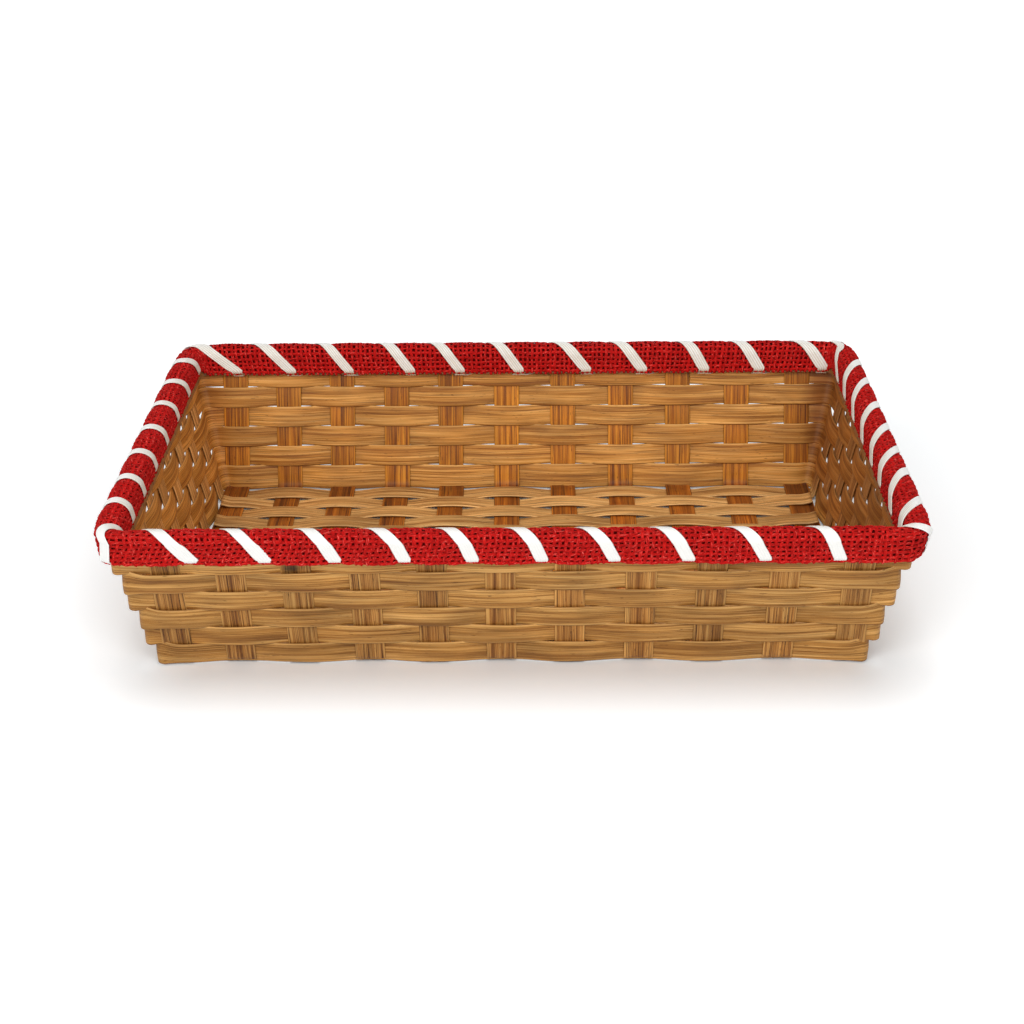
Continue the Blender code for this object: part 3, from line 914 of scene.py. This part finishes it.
def laceTurns():
    # The walk of each turn's middle line, in even steps from its inner to its outer foot
    turns = []
    past = lace["past"]
    shares = np.linspace(-past, 1 + past, lace["samples"])
    weights = np.hanning(lace["smoothing"])
    for wall in range(4):
        stations = lace["stations"][wall]
        knots = [-past, *(station[0] for station in stations), 1 + past]
        for places in lace["turns"][wall]:
            walks = [walkAt(wall, place, *station[1:]) for place, station in zip(places, stations)]
            first, last = ((walks[end] - walks[end - 1]) / (knots[end + 1] - knots[end]) for end in (1, 3))
            line = np.interp(shares, knots, [walks[0] - past * first, *walks, walks[3] + past * last])
            turns.append(np.convolve(line, weights / weights.sum(), "valid"))
    return turns


def rimSection(offset, crown, bottomOut, bottomIn, step):
    # Offset and level from the outer lower edge, over the top, to the inner lower edge
    angles = np.linspace(0, math.pi, 40)
    section = [(offset, bottomOut)]
    section += [(offset * math.cos(angle), hoopTop + crown * math.sin(angle)) for angle in angles]
    section.append((-offset, bottomIn))
    return evenSteps(section, step)


laceList = laceTurns()


def laceWalk(turn, share):
    return np.interp(share, np.linspace(0, 1, len(turn)), turn)


def laceGap(walk, share):
    # Distances to the middle lines of the turns before and after a place of the cloth
    before = np.full(np.broadcast(walk, share).shape, 1e9)
    after = before.copy()
    for turn in laceList:
        away = (walk - laceWalk(turn, share)) % roundTrip
        before = np.minimum(before, away)
        after = np.minimum(after, roundTrip - away)
    return before, after


binding = {
    "offset": 4.9,
    "crown": 3.7,
    # Between two turns of the lace the cloth bulges, the more the wider the space is. Each
    # side of a turn holds down a share of the lace's width.
    "bulge": 0.75,
    "bulgePower": 0.6,
    "heldDown": 0.55,
    "fullSpace": 24.0,
    "leastBulge": 0.15,
    "edgeBulge": (0.35, 5.0),
    "hang": 0.7,
    # It bulges less on the inside of the end walls, and not in the corners
    "endFlat": 0.7,
    "endFlatFrom": (0.6, 0.2),
    "tightCorner": (7.0, 10.0),
    "outerEdge": rimBottom - 0.6,
    "innerLift": 1.1,
    "endWallLift": 4.2,
    "groundDepth": 0.55,
    "groundThickness": 0.3,
    "groundInset": 0.6,
    "groundSteps": (900, 45),
    "threads": 15,
    "laneTrim": 0.35,
    "firstLane": 0.2,
    "threadPitch": 2.42,
    "threadRing": 6,
    "threadHalfWidth": 0.80,
    "threadHalfHeight": 0.38,
    "weave": 0.30,
    "threadStray": 0.2,
    "threadWidths": (0.82, 1.16),
    "thicknessShare": 0.4,
    "fringe": (0.1, 0.9),
    "innerFringe": (0.2, 0.9),
    "fringeBend": 0.5,
    "fringeLift": (-0.3, 0.35),
    "fringeWeave": 0.4,
    # How much the fringe narrows over its length, and its least width
    "fringeTaper": (0.75, 0.25),
    "skew": (1.0, 300.0),
    # How the threads wander and swell: size, first seed and length of each
    "alongWander": ((0.26, 50, 45.0), (0.13, 80, 11.0)),
    "alongSwell": ((0.17, 110, 30.0), (0.12, 140, 8.0)),
    "acrossWander": ((0.2, 1000, 12.0),),
    "acrossSwell": ((0.13, 3000, 9.0),),
}

clothLine = rimSection(binding["offset"], binding["crown"], binding["outerEdge"], rimBottom, 0.25)
clothRun = runAlong(clothLine)
clothWidth = clothRun[-1]
outerHeight = hoopTop - binding["outerEdge"]


def onEndWall(walk):
    # 1 along the end walls and 0 along the long walls
    return rimPoint(walk, 0.0, hoopTop)[1][..., 0] ** 2


def innerLift(walk):
    # On the end walls the cloth's inner edge lies higher than on the long walls
    return binding["innerLift"] + (binding["endWallLift"] - binding["innerLift"]) * onEndWall(walk)


def drawnTight(walk):
    # 1 in the corners, where the cloth is drawn tight, and 0 along the walls
    away = [np.abs(nearestWay(walk - middle)) for middle in cornerMiddles]
    full, fade = binding["tightCorner"]
    return 1 - np.clip((np.min(away, axis=0) - full) / fade, 0, 1)


def clothPoint(walk, place, height):
    # A point at a walk and a place across the cloth, from its outer lower edge, raised by a
    # height. The cloth bulges and hangs lower between two turns of the lace.
    walk, place = np.broadcast_arrays(np.asarray(walk, float), np.asarray(place, float))
    full = clothWidth - innerLift(walk)
    beyond = np.clip(place, None, 0) + np.clip(place - clothWidth, 0, None)
    inside = np.clip(place, 0, clothWidth) * full / clothWidth
    before, after = laceGap(walk, 1 - np.clip(place / clothWidth, 0, 1))
    held = lace["width"] * binding["heldDown"]
    room = np.clip(before + after - 2 * held, 1.0, None)
    swell = np.sin(math.pi * np.clip((before - held) / room, 0, 1)) ** binding["bulgePower"]
    fullness = np.clip(room / binding["fullSpace"], binding["leastBulge"], 1.0)

    def onLine(shift):
        return np.stack([np.interp(inside + shift, clothRun, clothLine[:, axis]) for axis in (0, 1)])

    offset, level = onLine(0.0)
    slope = onLine(0.3) - onLine(-0.3)
    slope = slope / np.linalg.norm(slope, axis=0)
    atEdge, reach = binding["edgeBulge"]
    nearEdge = np.minimum(atEdge + np.minimum(inside, full - inside) / reach, 1)
    begin, reach = binding["endFlatFrom"]
    flat = 1 - binding["endFlat"] * onEndWall(walk) * np.clip((inside / clothWidth - begin) / reach, 0, 1)
    raised = height + binding["bulge"] * swell * fullness * nearEdge * flat * (1 - drawnTight(walk))
    hang = binding["hang"] * swell * np.clip(1 - inside / outerHeight, 0, 1)
    return rimPoint(walk, offset + slope[1] * raised + slope[0] * beyond,
                    level - slope[0] * raised + slope[1] * beyond - hang)[0]


# Burlap

burlapLook = {
    "light": (0.95, 0.19, 0.155),
    "middle": (0.52, 0.0075, 0.006),
    "dark": (0.21, 0.002, 0.002),
    "leastTone": 0.74,
    "toneSpread": 0.26,
    "patches": 0.3,
    "twist": 0.28,
    "deepFibres": (0.34, 0.5),
    "lightFibresAndHighlights": (0.58, 0.75),
    # The layer under the weave: its dark red is painted shade as seen through the holes
    "ground": (0.055, 0.0008, 0.0006),
    "groundLight": (0.121, 0.00176, 0.00132),
}


def threadMaterial():
    material, tree, shader = startMaterial("redBurlapThread")
    along, around, _ = splitAttribute(tree, "grain")
    tone = splitAttribute(tree, "mark")[0]
    # Fibres lie in a slow twist round the thread
    twisted = times(tree, along, burlapLook["twist"], around)
    fibre = streakNoise(tree, along, twisted, (0.35, 2.6), times(tree, tone, 53.0), 3.0, 0.65)
    patch = streakNoise(tree, along, around, (0.11, 0.1), times(tree, tone, 29.0))
    deep = rampNode(tree, fibre, burlapLook["deepFibres"], falling)
    colour = mixColour(tree, deep, burlapLook["middle"], burlapLook["dark"])
    # Lighter fibres, which also carry painted highlights on the threads
    colour = mixColour(tree, rampNode(tree, fibre, burlapLook["lightFibresAndHighlights"]), colour, burlapLook["light"])
    patch = times(tree, patch, burlapLook["patches"], burlapLook["leastTone"])
    colour = toned(tree, colour, times(tree, tone, burlapLook["toneSpread"], patch))
    finishMaterial(tree, shader, colour, (fibre, 0.6, 0.0002), 0.85, 0.1)
    return material


def shadedGroundMaterial():
    material, tree, shader = startMaterial("burlapShade")
    place = makeNode(tree, "ShaderNodeTexCoord").outputs["Object"]
    noise = makeNode(tree, "ShaderNodeTexNoise", {
        "Vector": place, "Scale": 700.0, "Detail": 3.0}).outputs["Fac"]
    colour = mixColour(tree, noise, burlapLook["ground"], burlapLook["groundLight"])
    finishMaterial(tree, shader, colour, (noise, 0.5, 0.0003), 0.95, 0.05)
    return material


def makeThreads(name, threads, material, closed):
    # Tubes of an oval section. A thread is its line, the cloth's outward direction, how thick
    # it is against the usual thread, and its tone.
    points, grains, marks, faces = [], [], [], []
    base = 0
    ringSize = binding["threadRing"]
    angles = 2 * math.pi * np.arange(ringSize) / ringSize
    around = np.abs(angles / math.pi - 1)[None, :] * 2.2
    for line, outward, wide, high, tone in threads:
        onward = np.gradient(line, axis=0)
        if closed:
            onward = np.roll(line, -1, axis=0) - np.roll(line, 1, axis=0)
        tangent = unit(onward)
        sideways = unit(np.cross(tangent, outward))
        aside = np.cos(angles)[None, :] * (binding["threadHalfWidth"] * wide)[:, None]
        upward = np.sin(angles)[None, :] * (binding["threadHalfHeight"] * high)[:, None]
        ring = (line[:, None, :] + sideways[:, None, :] * aside[..., None]
                + np.cross(sideways, tangent)[:, None, :] * upward[..., None])
        points.append(ring.reshape(-1, 3))
        grains.append(together(runAlong(line)[:, None], around, 0.0).reshape(-1, 3))
        marks.append(np.tile((tone, 0.0, 0.0), (ring.size // 3, 1)))
        faces += [[corner + base for corner in face] for face in ringFaces(len(line), ringSize, closed)]
        base += len(line) * ringSize
    return addMesh(name, np.concatenate(points), faces, material,
                   grain=np.concatenate(grains), mark=np.concatenate(marks))


def threadPieces(name, threads, material, closed, pieceCount=3):
    # The threads dealt out over several pieces
    return [makeThreads(f"{name}{number + 1}", threads[number::pieceCount], material, closed)
            for number in range(pieceCount)]


def wandering(value, wanders, thread, place):
    for size, seed, length in wanders:
        value = value + size * wander(seed + thread, place, length)
    return value


def clothThread(walk, place, height, width, tone, taper=1.0):
    # A thread that is wider than usual is thicker too, though less so
    line = clothPoint(walk, place, height)
    outward = clothPoint(walk, place, height + 0.5) - line
    share = binding["thicknessShare"]
    return line, outward, width * taper, (1 - share + share * width) * taper, tone


def makeBurlap():
    material = threadMaterial()
    count = int(round(roundTrip / binding["threadPitch"] / 2)) * 2
    pitch = roundTrip / count
    rng = np.random.default_rng(5)
    # Threads along the rim
    walk = np.arange(4 * count) * pitch / 4
    laneWidth = clothWidth / (binding["threads"] - binding["laneTrim"])
    along = []
    for lane in range(binding["threads"]):
        place = wandering(laneWidth * (lane + binding["firstLane"]), binding["alongWander"], lane, walk)
        height = binding["weave"] * np.cos(math.pi * (walk / pitch + lane))
        width = wandering(1, binding["alongSwell"], lane, walk)
        along.append(clothThread(walk, place, height, width, rng.uniform(0, 1)))
    # Threads across the cloth, from raw edge to raw edge
    crossing = []
    for thread in range(count):
        low = -rng.uniform(*binding["fringe"])
        high = clothWidth + rng.uniform(*binding["innerFringe"])
        places = np.linspace(low, high, int((high - low) / laneWidth * 4) + 1)
        own = (thread + 0.5) * pitch + rng.uniform(-binding["threadStray"], binding["threadStray"])
        loose = np.clip(-places, 0, None)
        size, length = binding["skew"]
        skew = size * wander(40, np.full(len(places), own), length) * (places / clothWidth - 0.5)
        place = wandering(own + skew, binding["acrossWander"], thread, places)
        place = place + rng.uniform(-1, 1) * binding["fringeBend"] * loose
        side = 1 if thread % 2 == 0 else -1
        height = -binding["weave"] * np.cos(math.pi * (places / laneWidth - binding["firstLane"])) * side
        lifted = height * binding["fringeWeave"] + rng.uniform(*binding["fringeLift"]) * loose
        height = np.where(places < 0, lifted, height)
        width = wandering(rng.uniform(*binding["threadWidths"]), binding["acrossSwell"], thread, places)
        narrower, least = binding["fringeTaper"]
        taper = np.clip(1 - narrower * loose / binding["fringe"][1], least, 1)
        crossing.append(clothThread(place, places, height, width, rng.uniform(0, 1), taper))
    woven = threadPieces("burlapAlong", along, material, True)
    woven += threadPieces("burlapAcross", crossing, material, False)
    # The cloth's second layer under the open weave, dark as painted shade seen through the holes
    rings, columns = binding["groundSteps"]
    inset = binding["groundInset"]
    walks, across = np.meshgrid(np.arange(rings) * roundTrip / rings,
                                np.linspace(inset, clothWidth - inset, columns), indexing="ij")
    top = clothPoint(walks, across, -binding["groundDepth"])
    bottom = clothPoint(walks, across, -binding["groundDepth"] - binding["groundThickness"])
    ring = np.concatenate([top, bottom[:, ::-1]], axis=1)
    ground = addMesh("burlapBinding", ring, ringFaces(len(ring), ring.shape[1], True), shadedGroundMaterial())
    for piece in (*woven, ground):
        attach(piece, "root")
    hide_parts("burlap_binding")


makeBurlap()
print("burlap is folded over the rim")


# Lace

laceLook = {
    "colour": (0.93, 0.925, 0.90),
    "ivory": (0.80, 0.76, 0.66),
    # Painted shade in the grooves between the strands
    "groove": (0.55, 0.45, 0.30),
    "mark": (0.20, 0.14, 0.08),
    "fibres": (0.36, 0.6),
    "dirt": (0.22, 0.29),
    # How much of each shows on the inside of the rim beyond the outside's, and on both
    "fibreShow": (0.75, 0.12),
    "grooveShadeShow": (0.60, 0.08),
    "dirtShow": 0.6,
}


def laceMaterial():
    # On the inside of the rim the lace's fibres show more than on the outside, and its grooves get painted
    # shade
    material, tree, shader = startMaterial("whiteLace")
    along, across, _ = splitAttribute(tree, "grain")
    _, groove, inside = splitAttribute(tree, "mark")
    fibre = streakNoise(tree, along, across, (0.06, 1.9), 3.0, 3.0, 0.6)
    dirt = streakNoise(tree, along, across, (0.10, 1.3), 9.0, 2.0, 0.6)
    white, ivory = laceLook["colour"], laceLook["ivory"]
    colour = mixColour(tree, rampNode(tree, fibre, laceLook["fibres"], falling), white, ivory)
    colour = mixColour(tree, times(tree, inside, *laceLook["fibreShow"]), white, colour)
    # Painted shade in the grooves between strands, mostly on the inside
    grooveShading = times(tree, groove, times(tree, inside, *laceLook["grooveShadeShow"]))
    colour = mixColour(tree, grooveShading, colour, laceLook["groove"])
    dirty = rampNode(tree, dirt, laceLook["dirt"], falling)
    dirty = times(tree, dirty, times(tree, inside, laceLook["dirtShow"]))
    colour = mixColour(tree, dirty, colour, laceLook["mark"])
    finishMaterial(tree, shader, colour, (fibre, 0.4, 0.00012), 0.5, 0.3)
    return material


def laceStretch(turn):
    # Offset, level and walk of one turn, from the middle of the wall to the middle of the
    # wall. Out of sight the lace runs inside the rim, below the cloth's edges it dives in.
    innerEdge = rimBottom + float(innerLift(turn[0])) + 0.1
    outerEdge = binding["outerEdge"] + 0.3
    deep, shown = lace["hidden"], lace["offset"]
    line = [(0.0, slotLevel), (-deep + 0.6, slotLevel), (-deep, slotLevel + 0.9), (-deep, innerEdge - 0.9),
            (-deep - 0.5, innerEdge - 0.3), (-shown + 0.5, innerEdge + 0.4), (-shown, innerEdge + 1.4)]
    inner = len(line) - 1
    line += [(-shown * math.cos(angle), hoopTop + lace["crown"] * math.sin(angle))
             for angle in np.linspace(0, math.pi, 40)]
    outer = len(line)
    line += [(shown, outerEdge + 1.4), (shown - 0.5, outerEdge + 0.4), (deep + 0.5, outerEdge - 0.3),
             (deep - 0.6, slotLevel), (0.0, slotLevel)]
    line = np.array(line)
    run = runAlong(line)
    share = np.clip((run - run[inner]) / (run[outer] - run[inner]), 0, 1)
    return np.column_stack([line, laceWalk(turn, share)])


def laceRing():
    # Places across the lace, heights and depth of groove, over the strands and back beneath
    across = np.linspace(-1, 1, lace["strands"] * 4 + 1)
    groove = 1 - np.abs(np.cos(math.pi * lace["strands"] * (across + 1) / 2 + math.pi / 2))
    height = lace["thickness"] / 2 - lace["grooveDepth"] * groove
    height[[0, -1]] = 0.0
    height = height - lace["crownDepth"] * across ** 2
    under = np.array([0.9, 0.5, 0.0, -0.5, -0.9])
    beneath = np.full(len(under), 0.05 - lace["thickness"] / 2)
    return (np.concatenate([across, under]), np.concatenate([height, beneath]),
            np.concatenate([groove, 0 * under]))


def makeLace():
    # Turn after turn as one line of offset, level and walk, slantwise through the wall
    # from each outer foot to the next inner foot
    lines = []
    for index, turn in enumerate(laceList):
        line = laceStretch(turn)
        onward = nearestWay(laceList[(index + 1) % len(laceList)][0] - turn[-1])
        backward = nearestWay(turn[0] - laceList[index - 1][-1])
        line[-2:, 2] += onward / 2 * (1 - line[-2:, 0] / line[-2, 0])
        line[:2, 2] -= backward / 2 * (1 - line[:2, 0] / line[1, 0])
        if lines:
            line = line[1:]
            line[:, 2] -= round((line[0, 2] - lines[-1][-1, 2]) / roundTrip) * roundTrip
        lines.append(line)
    whole = evenSteps(softenLine(np.concatenate(lines), *lace["crease"]), lace["step"])
    offset, level, walk = whole.T
    points, outward, walking = rimPoint(walk, offset, level)
    slope = np.gradient(whole, axis=0)
    section = np.hypot(slope[:, 0], slope[:, 1]) + 1e-9
    normal = np.stack([slope[:, 1], -slope[:, 0]], axis=1) / section[:, None]
    out = -(outward * normal[:, :1] + np.array([0, 0, 1.0]) * normal[:, 1:])
    slant = np.clip(np.abs(slope[:, 2]) / section, 0, lace["mostSlant"])
    size, length = lace["widthWander"]
    widths = lace["width"] * np.hypot(1, slant) * (1 + size * wander(91, walk, length))
    insides = np.clip((-offset / 5 + 0.1) * 1.4, 0, 1)
    across, height, groove = (part[None, :] for part in laceRing())
    spread = (points[:, None, :] + walking[:, None, :] * (across * widths[:, None] / 2)[..., None]
              + out[:, None, :] * height[..., None])
    piece = addMesh("rimLacing", spread, ringFaces(len(points), across.size, False, True), laceMaterial(),
                    grain=together(runAlong(points)[:, None], across * lace["width"] / 2, 0.0),
                    mark=together(0.0, groove, insides[:, None]))
    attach(piece, "root")
    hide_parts("rim_lacing")


makeLace()
print("lace is wound round the rim")


# Hoops keep their solids and get grain that runs round the rim

hoopLook = {
    "middle": (0.56, 0.32, 0.13),
    "dark": (0.33, 0.15, 0.045),
    "light": (0.62, 0.38, 0.17),
    "shade": (0.54, 0.38, 0.22),
    "outline": (0.05, 0.018, 0.006),
    "fine": (0.35, 0.6),
    "broadShare": 0.4,
    "outlineReach": (0.04, 0.16),
    "outlineDepth": (0.75, 0.0),
    "outlineSlant": 0.7,
}


def hoopMaterial():
    material, tree, shader = startMaterial("hoopBamboo")
    sideways, lengthways, upwards = splitPlace(tree)
    along = times(tree, plus(tree, sideways, lengthways), 1000.0)
    across = times(tree, upwards, 1000.0)
    fine = streakNoise(tree, along, across, (0.03, 2.0), 1.0, 3.0)
    broad = streakNoise(tree, along, across, (0.01, 0.4), 7.0)
    deep = rampNode(tree, fine, hoopLook["fine"], falling)
    colour = mixColour(tree, deep, hoopLook["middle"], hoopLook["dark"])
    colour = mixColour(tree, times(tree, broad, hoopLook["broadShare"]), colour, hoopLook["light"])
    colour = mixColour(tree, 1.0, colour, hoopLook["shade"], "MULTIPLY")
    # Slanted dark outlines, a strip's pitch apart
    slanted = times(tree, across, hoopLook["outlineSlant"], along)
    share = mathsNode(tree, "FRACT", mathsNode(tree, "DIVIDE", slanted, tray["stripPitch"]))
    outline = rampNode(tree, share, hoopLook["outlineReach"], hoopLook["outlineDepth"])
    colour = mixColour(tree, outline, colour, hoopLook["outline"])
    finishMaterial(tree, shader, colour, (fine, 0.5, 0.0002), 0.55, 0.5)
    return material


hoopFinish = hoopMaterial()
for hoop in ("outer_rim_hoop", "inner_rim_hoop"):
    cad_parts[hoop].material_slots[0].material = hoopFinish


# Floor, light and camera

studio = {
    "floorHalf": 6000.0,
    "floorLevel": -0.2,
    "floorColour": (0.905, 0.93, 0.94),
    # The glow starts this far from the middle, in metres, and reaches its full strength
    # after the reach
    "floorGlow": 0.25,
    "glowStart": (0.143, 0.107),
    "glowMiddle": (0.005, 0.0),
    "glowReach": 0.044,
    "farGlow": 3.0,
    "worldLight": 0.30,
    "lampAim": (0.0, 0.0, 0.04),
    # Each lamp's direction from the tray, distance, size and light on a face turned to it
    "lamps": {
        "leftLamp": {"from": (-0.42, -0.74, 0.52), "away": 1.8, "size": 1.1, "light": 0.37},
        "rightLamp": {"from": (0.30, -0.80, 0.52), "away": 1.8, "size": 1.1, "light": 0.35},
        "topLamp": {"from": (0.05, 0.10, 1.0), "away": 1.7, "size": 1.4, "light": 0.31},
    },
}


def seenDirectly(tree):
    # 1 for the eye and for its reflections, 0 for the light on the tray
    path = makeNode(tree, "ShaderNodeLightPath").outputs
    seen = mathsNode(tree, "MAXIMUM", path["Is Glossy Ray"], path["Is Transmission Ray"])
    return mathsNode(tree, "MAXIMUM", path["Is Camera Ray"], seen)


def makeFloor():
    # Beside the tray the floor glows a little to the eye, under the tray it doesn't
    material, tree, shader = startMaterial("paleFloor")
    shader.inputs["Base Color"].default_value = (*studio["floorColour"], 1.0)
    shader.inputs["Roughness"].default_value = 0.9
    shader.inputs["Specular IOR Level"].default_value = 0.0
    beside = []
    for place, middle, start in zip(splitPlace(tree), studio["glowMiddle"], studio["glowStart"]):
        far = mathsNode(tree, "ABSOLUTE", plus(tree, place, -middle))
        beside.append(mathsNode(tree, "MAXIMUM", plus(tree, far, -start), 0.0))
    away = mathsNode(tree, "SQRT", times(tree, beside[0], beside[0], times(tree, beside[1], beside[1])))
    share = mathsNode(tree, "DIVIDE", away, studio["glowReach"], clamp=True)
    share = times(tree, away, studio["farGlow"], share)
    strength = times(tree, times(tree, seenDirectly(tree), share), studio["floorGlow"])
    glow = makeNode(tree, "ShaderNodeEmission", {"Color": (1.0, 1.0, 1.0, 1.0), "Strength": strength})
    both = makeNode(tree, "ShaderNodeAddShader", {0: shader.outputs[0], 1: glow.outputs[0]})
    tree.links.new(both.outputs[0], tree.nodes["Material Output"].inputs["Surface"])
    half, level = studio["floorHalf"], studio["floorLevel"]
    corners = [(-half, -half, level), (half, -half, level), (half, half, level), (-half, half, level)]
    floor = addMesh("studioFloor", corners, [[0, 1, 2, 3]], material)


def makeWorld():
    world = bpy.data.worlds.new("paleStudio")
    bpy.context.scene.world = world
    world.use_nodes = True
    tree = world.node_tree
    background = tree.nodes["Background"]
    background.inputs["Color"].default_value = (1.0, 1.0, 1.0, 1.0)
    strength = times(tree, seenDirectly(tree), 1.0 - studio["worldLight"], studio["worldLight"])
    tree.links.new(strength, background.inputs["Strength"])


def placed(name, data, right, up, back, place):
    # An object that looks along the way opposite to back
    holder = bpy.data.objects.new(name, data)
    columns = zip(right, up, back)
    holder.matrix_world = Matrix([(*column, spot) for column, spot in zip(columns, place)] + [(0, 0, 0, 1)])
    bpy.context.scene.collection.objects.link(holder)
    return holder


def makeLamps():
    for name, lamp in studio["lamps"].items():
        light = bpy.data.lights.new(name, "AREA")
        light.shape = "DISK"
        light.size = lamp["size"]
        light.energy = lamp["light"] * math.pi ** 2 * lamp["away"] ** 2
        back = np.array(lamp["from"]) / np.linalg.norm(lamp["from"])
        side = np.cross([0, 0, 1.0], back)
        side /= np.linalg.norm(side)
        placed(name, light, side, np.cross(back, side), back, back * lamp["away"] + studio["lampAim"])


view = {
    "place": (0.0116, -0.8938, 0.4263),
    "down": math.radians(23.93),
    "turn": math.radians(-0.82),
    "roll": math.radians(-0.61),
    "focal": 2003.8 / 1024 * 36,
    "sensor": 36.0,
}


def makeCamera():
    down, turn, roll = view["down"], view["turn"], view["roll"]
    forward = np.array([math.sin(turn) * math.cos(down), math.cos(turn) * math.cos(down), -math.sin(down)])
    right = np.array([math.cos(turn), -math.sin(turn), 0.0])
    up = np.cross(right, forward)
    lens = bpy.data.cameras.new("photoCamera")
    lens.sensor_width = view["sensor"]
    lens.lens = view["focal"]
    lens.clip_start = 0.05
    lens.clip_end = 20.0
    bpy.context.scene.camera = placed(
        "photoCamera", lens, math.cos(roll) * right + math.sin(roll) * up,
        math.cos(roll) * up - math.sin(roll) * right, -forward, view["place"])


makeFloor()
makeWorld()
makeLamps()
makeCamera()
bpy.context.scene.view_settings.view_transform = "Standard"
print("floor, light and camera are set")
